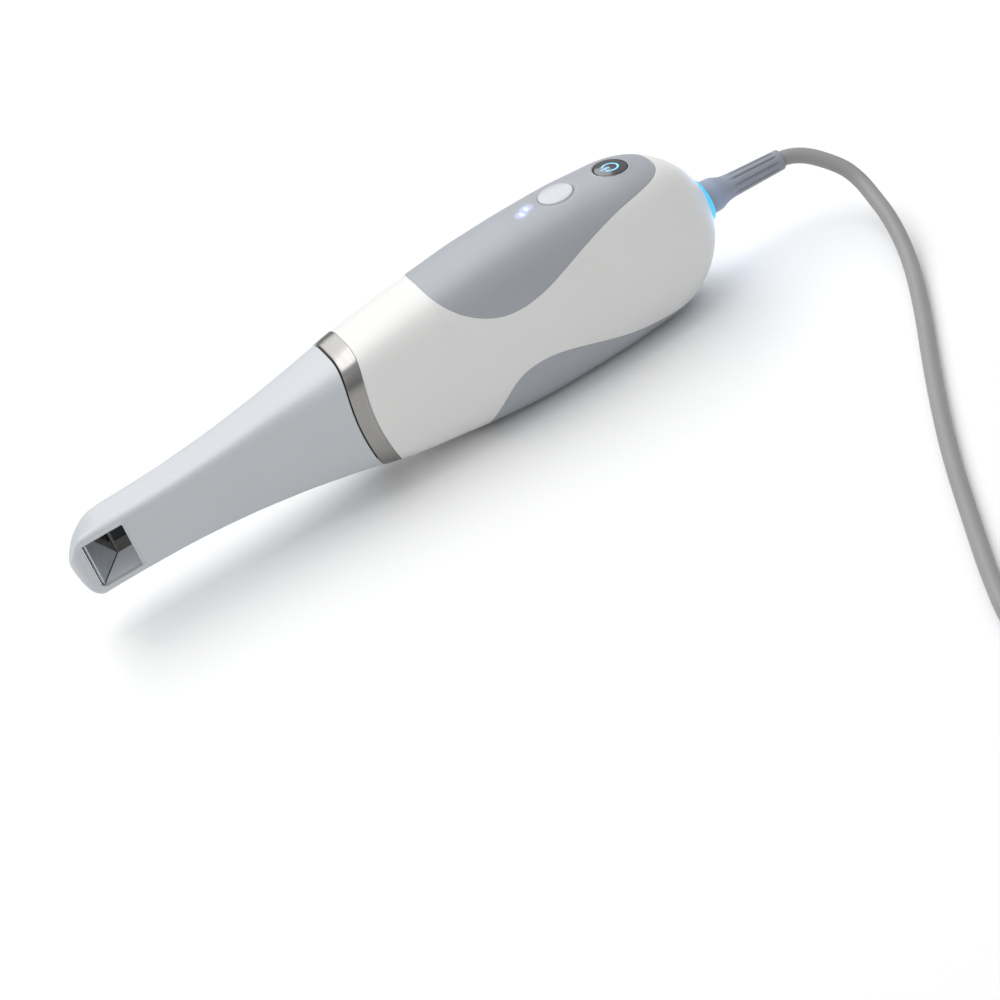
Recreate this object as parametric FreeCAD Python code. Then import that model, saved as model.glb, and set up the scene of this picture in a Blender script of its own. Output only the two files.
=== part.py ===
import FreeCAD, Part
import math
import os

V = FreeCAD.Vector

# ---------------------------------------------------------------------------
# Wired handheld intraoral scanner (a dental 3-D camera): a removable tip with
# a side window and a mirror, a collar ring, a handle with two buttons, a light
# ring round the cable exit, a strain relief, and a lead with a plug.
#
# While modelling, x runs from the tip's front end towards the cable, y is
# sideways (the window looks along -Y) and z is up (the buttons are on top),
# measured from the handle's long axis.  Each piece is moved into the part's
# frame just before it is written: origin at the bottom centre of the body.
# ---------------------------------------------------------------------------

# ---- driving dimensions (mm) ----
BODY_END = 225.0          # tip's front end to the rear dome's end
RELIEF_END = 253.5        # end of the strain relief
RELIEF_LEAN = 2.8         # degrees the outer part of the strain relief leans down
AXIS_H = 27.4             # height of the long axis over the resting surface
SKIN = 2.2                # wall of the handle's shell and covers
TIP_WALL = 1.4            # wall of the tip
TIP_BACK = 94.07          # collar's front edge at mid height
RING_BACK = 99.28         # collar's rear edge at mid height
BOW_F = 2.54              # how far the collar's front edge bows back at top and bottom
BOW_R = 3.42              # the same, rear edge
TIP_GAP = 0.35            # open line between tip and collar
NOSE_OFF = 2.3            # nose surface below the outer skin
WIN_X0, WIN_X1 = 4.8, 18.6      # window in the tip's side
WIN_Z0, WIN_Z1 = -7.3, 8.5
MIRROR_T = 1.0
FAR_WALL_Y = 5.4          # far wall of the light channel in the tip
SCAN_X, SCAN_R = 181.1, 5.7     # scan button
POWER_X, POWER_A, POWER_B = 200.2, 5.2, 5.8   # power button
BTN_GAP = 0.2             # clearance round each button
SCAN_TRAVEL, POWER_TRAVEL = 0.6, 0.6
TIP_TRAVEL = 45.0
RING_R, RING_BORE = 7.0, 5.7    # light ring
CABLE_D = 5.0
COIL_R = 27.5             # middle radius of the put-away coil (11 cable diameters across)
COIL_TURNS_BOTTOM, COIL_TURNS_TOP = 5, 4

# outer skin: half width, half height and centre height along x
PX = [0.0, 15.0, 30.0, 50.0, 70.0, 85.0, 94.0, 101.0, 107.0, 120.0, 135.0, 150.0, 165.0, 180.0, 195.0, 225.0]
PW = [7.85, 7.96, 8.27, 9.02, 10.67, 13.10, 14.75, 15.80, 16.35, 17.35, 18.25, 18.90, 19.05, 18.90, 18.25, 17.0]
PH = [10.80, 10.85, 11.08, 12.35, 14.90, 17.30, 19.00, 20.60, 22.00, 24.15, 26.15, 27.70, 28.20, 28.05, 27.10, 26.0]
PZ = [0.25, 0.27, 0.40, 0.54, 0.60, 0.50, 0.35, 0.15, 0.0, 0.0, -0.20, -0.20, 0.0, 0.25, 0.35, 0.10]
NX = [0.0, 50.0, 75.0, 101.0, 130.0, 165.0, 207.0, 225.0]
NN = [5.7, 5.3, 4.4, 3.6, 3.15, 2.98, 2.95, 2.2]
DOME_X = 195.0            # the rear dome starts here
DOME_MH, DOME_MW = 2.18, 2.45
# the tip's front end: how far back each side starts to close, and how sharply
NEAR_R, NEAR_M = 2.5, 2.0
FAR_R, FAR_M = 18.0, 1.57
TOP_R, TOP_M = 13.0, 1.6        # top, on the far side
TOPN_R, TOPN_M = 6.5, 2.0       # top, over the window
BOT_R, BOT_M = 5.5, 2.0

os.makedirs("parts", exist_ok=True)


def slopes(xs, ys):
    """Monotone cubic slopes (Fritsch-Carlson)."""
    n = len(xs)
    h = [xs[i + 1] - xs[i] for i in range(n - 1)]
    d = [(ys[i + 1] - ys[i]) / h[i] for i in range(n - 1)]
    m = [0.0] * n
    for i in range(1, n - 1):
        if d[i - 1] * d[i] > 0:
            w1 = 2 * h[i] + h[i - 1]
            w2 = h[i] + 2 * h[i - 1]
            m[i] = (w1 + w2) / (w1 / d[i - 1] + w2 / d[i])
    m[0], m[-1] = d[0], d[-1]
    return m


TABLES = {}


def curve(name, xs, ys, x):
    if name not in TABLES:
        TABLES[name] = slopes(xs, ys)
    m = TABLES[name]
    x = min(max(x, xs[0]), xs[-1])
    i = 0
    while i < len(xs) - 2 and x > xs[i + 1]:
        i += 1
    h = xs[i + 1] - xs[i]
    t = (x - xs[i]) / h
    return ((1 + 2 * t) * (1 - t) ** 2 * ys[i] + t * (1 - t) ** 2 * h * m[i]
            + t * t * (3 - 2 * t) * ys[i + 1] + t * t * (t - 1) * h * m[i + 1])


def close(x, r, m):
    """1 along the body, falling to 0 at x = 0 over the length r."""
    if x >= r:
        return 1.0
    return max(0.0, 1 - ((r - x) / r) ** m) ** (1.0 / m)


def skin(x):
    """y low, y high, centre height, half height and the corner exponent of the section at x."""
    w = curve("w", PX, PW, x)
    h = curve("h", PX, PH, x)
    zc = curve("z", PX, PZ, x)
    n = curve("n", NX, NN, x)
    if x > DOME_X:
        u = (x - DOME_X) / (BODY_END - DOME_X)
        h *= max(0.0, 1 - u ** DOME_MH) ** (1 / DOME_MH)
        w *= max(0.0, 1 - u ** DOME_MW) ** (1 / DOME_MW)
        zc *= 1 - u ** 2
    return -w * close(x, NEAR_R, NEAR_M), w * close(x, FAR_R, FAR_M), zc, h, n


def top_close(x, s):
    """How far the top has closed at x, for s from 0 on the window's side to 1 on the far side."""
    s = min(max((s - 0.06) / 0.5, 0.0), 1.0)
    s = s * s * (3 - 2 * s)
    return close(x, TOPN_R, TOPN_M) * (1 - s) + close(x, TOP_R, TOP_M) * s


def section(x, off=0.0, k=40, at=None):
    """Closed smooth wire: the skin's section at x, drawn in by off."""
    xs = x if at is None else at
    y0, y1, zc, h, n = skin(xs)
    yc, w = (y0 + y1) / 2, (y1 - y0) / 2 - off
    pts = []
    for i in range(k):
        t = 2 * math.pi * (i + 0.5) / k
        c, s = math.cos(t), math.sin(t)
        q = math.copysign(abs(c) ** (2 / n), c)
        rise = h * (top_close(xs, (q + 1) / 2) if s > 0 else close(xs, BOT_R, BOT_M)) - off
        pts.append(V(x, yc + w * q, zc + rise * math.copysign(abs(s) ** (2 / n), s)))
    b = Part.BSplineCurve()
    b.interpolate(Points=pts, PeriodicFlag=True)
    return Part.Wire([b.toShape()])


def tube(xs, off=0.0):
    s = Part.makeLoft([section(x, off) for x in xs], True, False)
    if s.Volume < 0:
        s.reverse()
    return s


def span(a, b, n):
    return [a + (b - a) * i / (n - 1) for i in range(n)]


def box(x0, x1, y0, y1, z0, z1):
    return Part.makeBox(x1 - x0, y1 - y0, z1 - z0, V(x0, y0, z0))


def cyl(r, h, p, d=(0, 0, 1)):
    return Part.makeCylinder(r, h, V(*p), V(*d))


def prism_xz(pts, y0=-40.0, y1=40.0, smooth=None):
    """Extrude an outline drawn in the side view (x, z) across y.  smooth names the run of points joined by one spline."""
    edges = []
    if smooth:
        a, b = smooth
        sp = Part.BSplineCurve()
        sp.interpolate([V(p[0], y0, p[1]) for p in pts[a:b + 1]])
        edges.append(sp.toShape())
        rest = pts[b:] + pts[:a + 1]
    else:
        rest = pts + pts[:1]
    for p, q in zip(rest, rest[1:]):
        if abs(p[0] - q[0]) + abs(p[1] - q[1]) > 1e-9:
            edges.append(Part.makeLine(V(p[0], y0, p[1]), V(q[0], y0, q[1])))
    w = Part.Wire(Part.__sortEdges__(edges))
    return Part.Face(w).extrude(V(0, y1 - y0, 0))


def bowed(x0, k, far):
    """Everything on the far side (x = far) of the bowed line x0 + k (z/h)^2."""
    h = curve("h", PX, PH, x0)
    zc = curve("z", PX, PZ, x0)
    zs = span(zc - 1.25 * h, zc + 1.25 * h, 13)
    pts = [(x0 + k * ((z - zc) / h) ** 2, z) for z in zs]
    big = 45.0
    pts += [(pts[-1][0], big), (far, big), (far, -big), (pts[0][0], -big)]
    return prism_xz(pts, smooth=(0, len(zs) - 1))


def one(shape):
    """The largest solid of a result."""
    s = sorted(shape.Solids, key=lambda q: -q.Volume)
    return s[0]


def group(shapes):
    return Part.makeCompound(shapes)


NODES = []


def put(name, shape, move=True):
    solids = shape.Solids
    if not solids:
        raise RuntimeError(name + " has no solid")
    shape = solids[0] if len(solids) == 1 else Part.makeCompound(solids)
    if move:
        shape = shape.copy()
        shape.translate(V(-RELIEF_END / 2, 0, AXIS_H))
    ok = shape.isValid()
    bb = shape.BoundBox
    print("%-18s solids %2d valid %s vol %9.1f  x %7.1f %7.1f  y %6.1f %6.1f  z %6.1f %6.1f" % (
        name, len(solids), ok, shape.Volume, bb.XMin, bb.XMax, bb.YMin, bb.YMax, bb.ZMin, bb.ZMax))
    shape.exportStep("parts/%s.step" % name)
    NODES.append((name, shape))


# ---- the tip ---------------------------------------------------------------
tip_x = [0.12, 0.5, 1.2, 2.2, 3.6, 5.5, 8.0, 11.0, 14.5, 18.0, 24.0, 31.0, 40.0, 50.0, 60.0, 70.0, 78.0, 86.0, 93.0, 100.0]
tip_outer = tube(tip_x)
tip_outer = one(tip_outer.cut(bowed(TIP_BACK - TIP_GAP, BOW_F, 130)))
# passage for light and for the nose
tip_inner = tube([29.0, 34.0, 40.0, 50.0, 60.0, 70.0, 78.0, 86.0, 93.0, 101.0], TIP_WALL)
# light channel: flat floor, ceiling and far wall, closed by the slanted mirror seat
MX0, MY0 = 5.0, -7.7                    # front end of the mirror's face, seen from above
MX1, MY1 = 14.6, FAR_WALL_Y             # its other end, on the far wall: 54 degrees from the axis
ML = math.hypot(MX1 - MX0, MY1 - MY0)
MNX, MNY = -(MY1 - MY0) / ML * MIRROR_T, (MX1 - MX0) / ML * MIRROR_T    # through the glass
channel = Part.Face(Part.makePolygon([V(MX0, MY0, WIN_Z0), V(MX1, MY1, WIN_Z0), V(30.0, FAR_WALL_Y, WIN_Z0),
                                      V(30.0, -6.7, WIN_Z0), V(WIN_X1, -6.7, WIN_Z0), V(WIN_X1, -9.5, WIN_Z0),
                                      V(MX0, -9.5, WIN_Z0), V(MX0, MY0, WIN_Z0)])).extrude(V(0, 0, WIN_Z1 - WIN_Z0))
pocket = Part.Face(Part.makePolygon([V(MX0, MY0, WIN_Z0), V(MX1, MY1, WIN_Z0), V(MX1 + MNX, MY1 + MNY, WIN_Z0),
                                     V(MX0 + MNX, MY0 + MNY, WIN_Z0), V(MX0, MY0, WIN_Z0)])).extrude(V(0, 0, WIN_Z1 - WIN_Z0))
rim = box(WIN_X0 - 1.0, WIN_X1 + 1.0, -8.35, -7.0, WIN_Z0 - 0.9, WIN_Z1 + 0.9).cut(box(WIN_X0, WIN_X1, -9, -6, WIN_Z0, WIN_Z1))
rim = rim.common(tube([2.2, 3.6, 5.5, 8.0, 11.0, 14.5, 18.0, 24.0], -0.35))
tip = tip_outer.fuse(rim).cut(tip_inner).cut(channel).cut(pocket)
put("tip_sleeve", one(tip))
mirror = one(pocket.common(tube(tip_x[:-2], 0.35)))
put("tip_mirror", mirror)

# dark liner of the light channel: a plate on the far wall, leaving a strip of wall bare below it, and a ceiling plate
liner = box(15.4, 57.0, FAR_WALL_Y - 0.85, FAR_WALL_Y - 0.05, -2.7, 8.4).fuse(box(20.5, 57.0, -5.6, FAR_WALL_Y - 0.05, 7.6, 8.4)).removeSplitter()
put("tip_baffle", one(liner))

# ---- collar ring -----------------------------------------------------------
ring_band = tube([88.0, 92.0, 96.0, 100.0, 104.0, 108.0], -0.12).cut(tube([87.0, 92.0, 96.0, 100.0, 104.0, 109.0], NOSE_OFF - 0.1))
ring_band = ring_band.common(bowed(TIP_BACK, BOW_F, 130)).cut(bowed(RING_BACK, BOW_R, 130))
put("collar_ring", one(ring_band))

# ---- nose, its window, seal and clips --------------------------------------
nose_out = tube([60.0, 70.0, 80.0, 88.0, 95.0, 101.0, 107.0], NOSE_OFF)
nose_in = tube([61.5, 70.0, 80.0, 88.0, 95.0, 101.0, 108.0], NOSE_OFF + 1.6)
nose = nose_out.cut(nose_in)
win_hole = box(58.0, 63.0, -5.0, 5.0, -8.0, 9.0)
nose = nose.cut(win_hole)
seal_band = tube([89.2, 90.0, 90.8], TIP_WALL + 0.12).cut(tube([88.0, 90.0, 92.0], NOSE_OFF + 0.5))
nose = nose.cut(tube([89.2, 90.0, 90.8], -1.0).cut(tube([88.0, 90.0, 92.0], NOSE_OFF + 0.5)))
clip_zone = [box(76.0, 86.0, -30, 0, -3.0 + 0.5, 3.0 + 0.5), box(76.0, 86.0, 0, 30, -3.0 + 0.5, 3.0 + 0.5)]
clip_band = tube([74.0, 78.0, 82.0, 88.0], TIP_WALL + 0.3).cut(tube([73.0, 78.0, 82.0, 89.0], NOSE_OFF + 0.4))
clips = [one(clip_band.common(z)) for z in clip_zone]
nose_cut = tube([74.0, 78.0, 82.0, 88.0], 0).cut(tube([73.0, 78.0, 82.0, 89.0], NOSE_OFF + 0.4))
nose = nose.cut(nose_cut.common(clip_zone[0])).cut(nose_cut.common(clip_zone[1]))
put("handle_nose", one(nose))
put("nose_seal", one(seal_band))
put("tip_clips", group(clips))
put("nose_window", box(61.5, 63.0, -6.4, 6.4, -9.4, 10.4).common(tube([61.5, 63.5], NOSE_OFF + 1.65)))

# ---- handle shell: white housing, grey covers ------------------------------
house_x = [93.0, 98.0, 103.0, 110.0, 120.0, 130.0, 140.0, 150.0, 160.0, 170.0, 180.0, 190.0, 198.0, 205.0, 211.0, 216.0, 219.5, 222.0, 223.6, 224.4]
inner_x = [92.0, 98.0, 103.0, 110.0, 120.0, 130.0, 140.0, 150.0, 160.0, 170.0, 180.0, 190.0, 198.0, 205.0, 211.0, 215.0, 218.5]
handle_outer = tube(house_x)
handle_shell = handle_outer.cut(tube(inner_x, SKIN)).common(bowed(RING_BACK, BOW_R, 260))
handle_shell = handle_shell.cut(cyl(RING_R + 0.05, 10, (218.0, 0, 0), (1, 0, 0)))
land = box(80, 240, -40, 40, -AXIS_H, 60)
handle_shell = handle_shell.common(land)
# side-view outlines of the two covers (x, z)
TOP_LINE = [(129.2, 31.0), (129.6, 27.4), (130.2, 25.2), (131.9, 22.1), (135.6, 17.8), (141.0, 13.7), (148.2, 10.8), (155.8, 10.5),
            (163.8, 12.2), (176.6, 16.7), (189.6, 20.3), (201.6, 21.9), (209.2, 22.2), (214.5, 22.4), (220.0, 22.5)]
BOT_LINE = [(129.2, -31.0), (129.6, -27.4), (130.4, -25.0), (132.5, -21.7), (138.2, -15.8), (144.9, -10.8), (152.1, -9.4), (158.0, -9.9),
            (166.0, -12.2), (178.0, -16.7), (190.0, -20.2), (201.6, -21.8), (209.2, -22.2), (214.5, -22.4), (220.0, -22.5)]
top_prism = prism_xz(TOP_LINE + [(220.0, 40.0), (129.2, 40.0)], smooth=(0, len(TOP_LINE) - 1))
bot_prism = prism_xz(BOT_LINE + [(220.0, -40.0), (129.2, -40.0)], smooth=(0, len(BOT_LINE) - 1))
housing = handle_shell.cut(top_prism).cut(bot_prism)
top_cover = handle_shell.common(top_prism)
bottom_cover = handle_shell.common(bot_prism)


def oval(x, a, b, z0, z1, grow=0.0):
    if abs(a - b) < 1e-6:
        return cyl(a + grow, z1 - z0, (x, 0, z0))
    if b > a:
        e = Part.Ellipse(V(x, b + grow, z0), V(x + a + grow, 0, z0), V(x, 0, z0))
    else:
        e = Part.Ellipse(V(x + a + grow, 0, z0), V(x, b + grow, z0), V(x, 0, z0))
    return Part.Face(Part.Wire([e.toShape()])).extrude(V(0, 0, z1 - z0))


scan_hole = oval(SCAN_X, SCAN_R, SCAN_R, 15, 40, BTN_GAP)
power_hole = oval(POWER_X, POWER_A, POWER_B, 15, 40, BTN_GAP)
LEDS = [(168.7, -0.75), (171.0, 0.75)]
LED_A, LED_B = 0.55, 0.75       # indicator slots: half width along x, half length of the straight part across


def slot_y(x, y, z0, z1, grow=0.0):
    """Upright rounded slot, long across the handle."""
    a = LED_A + grow
    return box(x - a, x + a, y - LED_B, y + LED_B, z0, z1).fuse(cyl(a, z1 - z0, (x, y - LED_B, z0))).fuse(cyl(a, z1 - z0, (x, y + LED_B, z0))).removeSplitter()


led_holes = [slot_y(x, y, 24, 36, 0.02) for x, y in LEDS]
top_cover = top_cover.cut(scan_hole).cut(power_hole)
for s in led_holes:
    top_cover = top_cover.cut(s)
put("main_housing", one(housing))
put("top_cover", one(top_cover))
put("bottom_cover", one(bottom_cover))

# ---- buttons: crowned caps with a stem down to their switches --------------
BOARD_Z = 18.6            # top face of the button board
SCAN_STEM, POWER_STEM = 21.6, 20.9      # lower ends of the stems
SCAN_SW, POWER_SW = 20.3, 20.1          # tops of the switch bodies
scan_top = tube(span(174.0, 188.0, 6), -0.25)
power_top = tube(span(192.0, 208.0, 7), 0.15)
scan_cap = oval(SCAN_X, SCAN_R, SCAN_R, 24.5, 32).common(scan_top)
scan_btn = scan_cap.fuse(oval(SCAN_X, SCAN_R + 0.9, SCAN_R + 0.9, 23.7, 24.7)).fuse(cyl(1.6, 3.0, (SCAN_X, 0, SCAN_STEM)))
power_cap = oval(POWER_X, POWER_A, POWER_B, 21.8, 32).common(power_top)
power_btn = power_cap.fuse(oval(POWER_X, POWER_A + 0.7, POWER_B + 0.7, 21.3, 21.9)).fuse(cyl(1.6, 1.0, (POWER_X, 0, POWER_STEM)))
# icon inlay in the power button's face: an open ring and a bar, the gap towards the tip
pz = 24.4
ring2 = cyl(2.75, 4.0, (POWER_X, 0, pz)).cut(cyl(2.2, 4.2, (POWER_X, 0, pz - 0.1))).cut(box(POWER_X - 4, POWER_X - 0.6, -0.95, 0.95, 20, 40))
bar = box(POWER_X - 3.0, POWER_X - 0.2, -0.28, 0.28, pz, pz + 4.0)
icon = group([one(ring2.common(power_top)), one(bar.common(power_top))])
power_btn = power_btn.cut(icon)
put("scan_button", one(scan_btn))
put("power_button", one(power_btn))
put("power_icon", icon)
leds = [one(slot_y(x, y, BOARD_Z + 1.0, BOARD_Z + 9.6).common(tube(span(160.0, 180.0, 6), 0.0))) for x, y in LEDS]
put("indicator_lens", group(leds))

# ---- board under the buttons, with its two switches ------------------------
put("button_board", box(163.0, 207.0, -8.5, 8.5, BOARD_Z - 1.2, BOARD_Z))
switches = []
for x, top in ((SCAN_X, SCAN_SW), (POWER_X, POWER_SW)):
    switches.append(box(x - 3.0, x + 3.0, -3.0, 3.0, BOARD_Z, top).cut(cyl(1.6, 5, (x, 0, BOARD_Z + 0.15))))
put("switch_bodies", group(switches))
put("scan_plunger", cyl(1.5, SCAN_STEM - BOARD_Z - 0.85, (SCAN_X, 0, BOARD_Z + 0.85)))
put("power_plunger", cyl(1.5, POWER_STEM - BOARD_Z - 0.85, (POWER_X, 0, BOARD_Z + 0.85)))
put("indicator_leds", group([box(x - 0.8, x + 0.8, y - 0.6, y + 0.6, BOARD_Z, BOARD_Z + 0.7) for x, y in LEDS]))

# ---- optics ----------------------------------------------------------------
barrel = cyl(8.0, 24.0, (106.0, 0, 0), (1, 0, 0)).cut(cyl(6.6, 30.0, (104.0, 0, 0), (1, 0, 0)))
barrel = barrel.fuse(cyl(8.8, 2.0, (128.0, 0, 0), (1, 0, 0)).cut(cyl(6.6, 4.0, (127.0, 0, 0), (1, 0, 0))))
put("lens_barrel", one(barrel))


def lens(x, r, thick, bulge):
    """Biconvex lens turned about the long axis, with a thin flat at each pole."""
    a, b = x - thick / 2, x + thick / 2
    k = 0.25
    left = Part.Arc(V(a - bulge, 0, k), V(a - bulge * 0.75, 0, r * 0.5), V(a, 0, r)).toShape()
    right = Part.Arc(V(b, 0, r), V(b + bulge * 0.75, 0, r * 0.5), V(b + bulge, 0, k)).toShape()
    rest = [Part.makeLine(V(a, 0, r), V(b, 0, r)), Part.makeLine(V(b + bulge, 0, k), V(b + bulge, 0, 0)),
            Part.makeLine(V(b + bulge, 0, 0), V(a - bulge, 0, 0)), Part.makeLine(V(a - bulge, 0, 0), V(a - bulge, 0, k))]
    s = Part.Face(Part.Wire(Part.__sortEdges__([left, right] + rest))).revolve(V(0, 0, 0), V(1, 0, 0), 360)
    if s.Volume < 0:
        s.reverse()
    return s


put("front_lens", one(lens(110.5, 6.5, 1.6, 1.1)))
put("rear_lens", one(lens(122.5, 6.5, 1.4, 0.8)))
put("beam_splitter", box(131.0, 144.0, -6.5, 6.5, -6.5, 6.5))
put("image_sensor", box(148.0, 149.6, -6.0, 6.0, -5.0, 5.0))
put("sensor_board", box(149.6, 151.0, -11.0, 11.0, -11.0, 11.0))
put("projector_lens", cyl(5.5, 5.0, (137.5, 0, -12.5)))
put("projector_module", box(129.5, 145.5, -8.0, 8.0, -19.0, -12.5))
frame_box = box(104.0, 149.5, -12.0, 12.0, -21.0, 12.0)
frame = frame_box.cut(box(100, 153, -9.9, 9.9, -19.1, 20))
frame = frame.fuse(box(104.0, 107.5, -12.0, 12.0, -14.5, 12.0)).fuse(box(124.5, 127.9, -12.0, 12.0, -19.5, 12.0))
frame = frame.cut(cyl(8.05, 60, (100, 0, 0), (1, 0, 0)).common(box(100, 128.0, -20, 20, -20, 20)))
frame = frame.common(tube([100, 104.0, 110.0, 120.0, 130.0, 140.0, 150.0, 152.0], SKIN + 0.5)).cut(nose_out)
put("optical_frame", one(frame))

# ---- electronics -----------------------------------------------------------
bosses = [(158.0, 9.6), (158.0, -9.6), (210.0, 9.6), (210.0, -9.6)]
main_board = box(153.0, 214.0, -11.5, 11.5, -1.6, 0.0)
for x, y in bosses:
    main_board = main_board.cut(cyl(0.9, 4, (x, y, -3)))
put("main_board", main_board)
chips = [box(160, 170, -5, 5, 0.0, 1.4), box(174, 182, -8, 0, 0.0, 1.2), box(174, 182, 2, 9, 0.0, 1.2), box(186, 191, -4, 4, 0.0, 1.6),
         box(194, 198, -9, -4, 0.0, 2.2), box(194, 198, 3, 8, 0.0, 2.2)]
put("board_chips", group(chips))
hs = box(156.0, 196.0, -11.0, 11.0, -4.6, -1.6)
for i in range(9):
    y = -10.6 + i * 2.55
    hs = hs.fuse(box(156.0, 196.0, y, y + 0.9, -15.5, -4.5))
put("heat_sink", one(hs.removeSplitter()))
put("cable_socket", box(203.0, 211.0, -5.0, 5.0, 0.0, 4.2))
fx = box(188.0, 188.4, -4.5, 4.5, 9.0, BOARD_Z - 1.2).fuse(box(188.0, 201.0, -4.5, 4.5, 9.0, 9.4)).fuse(box(200.6, 201.0, -4.5, 4.5, 0.0, 9.4))
put("button_flex", one(fx.removeSplitter()))
put("board_screws", group([cyl(1.7, 1.2, (x, y, 0.0)).fuse(cyl(0.9, 1.6, (x, y, -1.6))).removeSplitter() for x, y in bosses]))

# ---- rear: light ring, its board, strain relief ----------------------------
ring = cyl(RING_R, 4.6, (220.6, 0, 0), (1, 0, 0)).cut(cyl(RING_BORE, 6, (220, 0, 0), (1, 0, 0)))
ring = ring.makeFillet(0.35, [e for e in ring.Edges if abs(e.BoundBox.XMin - 225.2) < 1e-3 and abs(e.BoundBox.XMax - 225.2) < 1e-3])
put("light_ring", one(ring))
ringpcb = cyl(6.9, 1.0, (219.4, 0, 0), (1, 0, 0)).cut(cyl(4.6, 3, (218.5, 0, 0), (1, 0, 0)))
put("ring_led_board", ringpcb)

# strain relief: a flange and plug inside the shell, then a cup, a neck and a long fluted sleeve that leans a little down
inner_part = cyl(4.4, 3.4, (217.2, 0, 0), (1, 0, 0)).fuse(cyl(5.55, 5.4, (220.5, 0, 0), (1, 0, 0)))
cup = Part.BSplineCurve()
cup.interpolate([V(225.2, 0, 5.55), V(227.0, 0, 5.5), V(229.3, 0, 5.35), V(230.8, 0, 4.75), V(232.4, 0, 4.1), V(234.5, 0, 3.85)])
prof = [cup.toShape(), Part.makeLine(V(234.5, 0, 3.85), V(RELIEF_END, 0, 3.3)), Part.makeLine(V(RELIEF_END, 0, 3.3), V(RELIEF_END, 0, 0)),
        Part.makeLine(V(RELIEF_END, 0, 0), V(225.2, 0, 0)), Part.makeLine(V(225.2, 0, 0), V(225.2, 0, 5.55))]
outer_part = Part.Face(Part.Wire(Part.__sortEdges__(prof))).revolve(V(0, 0, 0), V(1, 0, 0), 360)
if outer_part.Volume < 0:
    outer_part.reverse()
for i in range(10):
    groove = box(235.5, 250.8, -0.42, 0.42, 3.05, 6.0)
    groove.rotate(V(0, 0, 0), V(1, 0, 0), 36.0 * (i + 0.5))
    outer_part = outer_part.cut(groove)
outer_part.rotate(V(225.2, 0, 0), V(0, 1, 0), RELIEF_LEAN)
put("strain_relief", one(inner_part.fuse(outer_part)))
put("wire_harness", box(211.0, 217.2, -2.2, 2.2, 1.0, 3.2))

# ---- the lead ----------------------------------------------------------------
# A route of straight runs joined by tangent arcs, each arc 0.45 of its shorter run.
TABLE = -AXIS_H
LAY = TABLE + CABLE_D / 2
COIL_C = (243.0, -236.0)
ROUTE = [(RELIEF_END - 0.03, 0.0, -1.38), (261.5, 0.0, -1.78), (269.8, -3.6, -4.5), (274.5, -10.5, -9.0), (274.1, -20.9, -14.7),
         (266.8, -36.3, -18.4), (261.5, -54.6, -22.0), (251.5, -75.8, -24.2), (239.7, -97.4, LAY), (228.3, -120.4, LAY),
         (217.2, -143.5, LAY), (207.5, -166.8, LAY), (198.4, -189.6, LAY), (189.8, -212.5, LAY), (188.0, -232.0, LAY),
         (196.5, -249.5, LAY), (211.0, -262.0, LAY), (227.6, -270.2, LAY)]


def lead(points, d, label):
    """Closed tube of diameter d along the route."""
    P = [V(*p) for p in points]
    edges, radii, length = [], [], 0.0
    here = P[0]
    for a, b, c in zip(P, P[1:], P[2:]):
        u, w = (b - a), (c - b)
        lu, lw = u.Length, w.Length
        u.normalize()
        w.normalize()
        turn = u.getAngle(w)
        cut = 0.45 * min(lu, lw)
        r = cut / math.tan(turn / 2)
        radii.append(r)
        s0, s1 = b - u * cut, b + w * cut
        bis = (w - u)
        bis.normalize()
        centre = b + bis * math.hypot(cut, r)
        mid = centre - bis * r
        edges.append(Part.LineSegment(here, s0).toShape())
        edges.append(Part.Arc(s0, mid, s1).toShape())
        length += (s0 - here).Length + r * turn
        here = s1
    edges.append(Part.LineSegment(here, P[-1]).toShape())
    length += (P[-1] - here).Length
    path = Part.Wire(edges)
    ring = Part.Wire([Part.makeCircle(d / 2, P[0], P[1] - P[0])])
    t = path.makePipeShell([ring], True, False)
    t = Part.Solid(t) if t.ShapeType != "Solid" and not t.Solids else one(t)
    if t.Volume < 0:
        t.reverse()
    want = math.pi * d * d / 4 * length
    print("%s: length %.1f, radii %s, volume %.0f of %.0f" % (label, length, [round(r) for r in radii], t.Volume, want))
    if abs(t.Volume / want - 1) > 0.02:
        raise RuntimeError(label + " tube volume is off")
    return t, length


cable, cable_len = lead(ROUTE, CABLE_D, "cable")
put("cable", cable)

# the put-away length: a neat flat coil, its turns side by side in two layers
half = COIL_TURNS_BOTTOM * CABLE_D / 2
coil_h = CABLE_D * (1 + math.sqrt(3) / 2)
r0, r1 = COIL_R - half, COIL_R + half
c = CABLE_D / 2
prof = Part.makePolygon([V(r0, 0, c * 0.6), V(r0 + c * 0.6, 0, 0), V(r1 - c * 0.6, 0, 0), V(r1, 0, c * 0.6), V(r1, 0, coil_h - 1.6 * c), V(r1 - 1.6 * c, 0, coil_h),
                         V(r0 + 1.6 * c, 0, coil_h), V(r0, 0, coil_h - 1.6 * c), V(r0, 0, c * 0.6)])
coil = Part.Face(prof).revolve(V(0, 0, 0), V(0, 0, 1), 360)
if coil.Volume < 0:
    coil.reverse()
coil.translate(V(COIL_C[0], COIL_C[1], TABLE))
TIE_A, TIE_W, TIE_T = 62.0, 12.0, 0.8
tie_out = box(r0 - TIE_T, r1 + TIE_T, -TIE_W / 2, TIE_W / 2, 0, coil_h + TIE_T)
tie_in = box(r0, r1, -TIE_W / 2 - 1, TIE_W / 2 + 1, TIE_T, coil_h)
tie = tie_out.cut(tie_in)
tie = tie.makeFillet(1.4, [e for e in tie.Edges if abs(e.BoundBox.YLength - TIE_W) < 1e-3 and (abs(e.BoundBox.ZMax - coil_h - TIE_T) < 1e-3)])
tie.rotate(V(0, 0, 0), V(0, 0, 1), TIE_A)
tie.translate(V(COIL_C[0], COIL_C[1], TABLE))
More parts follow.
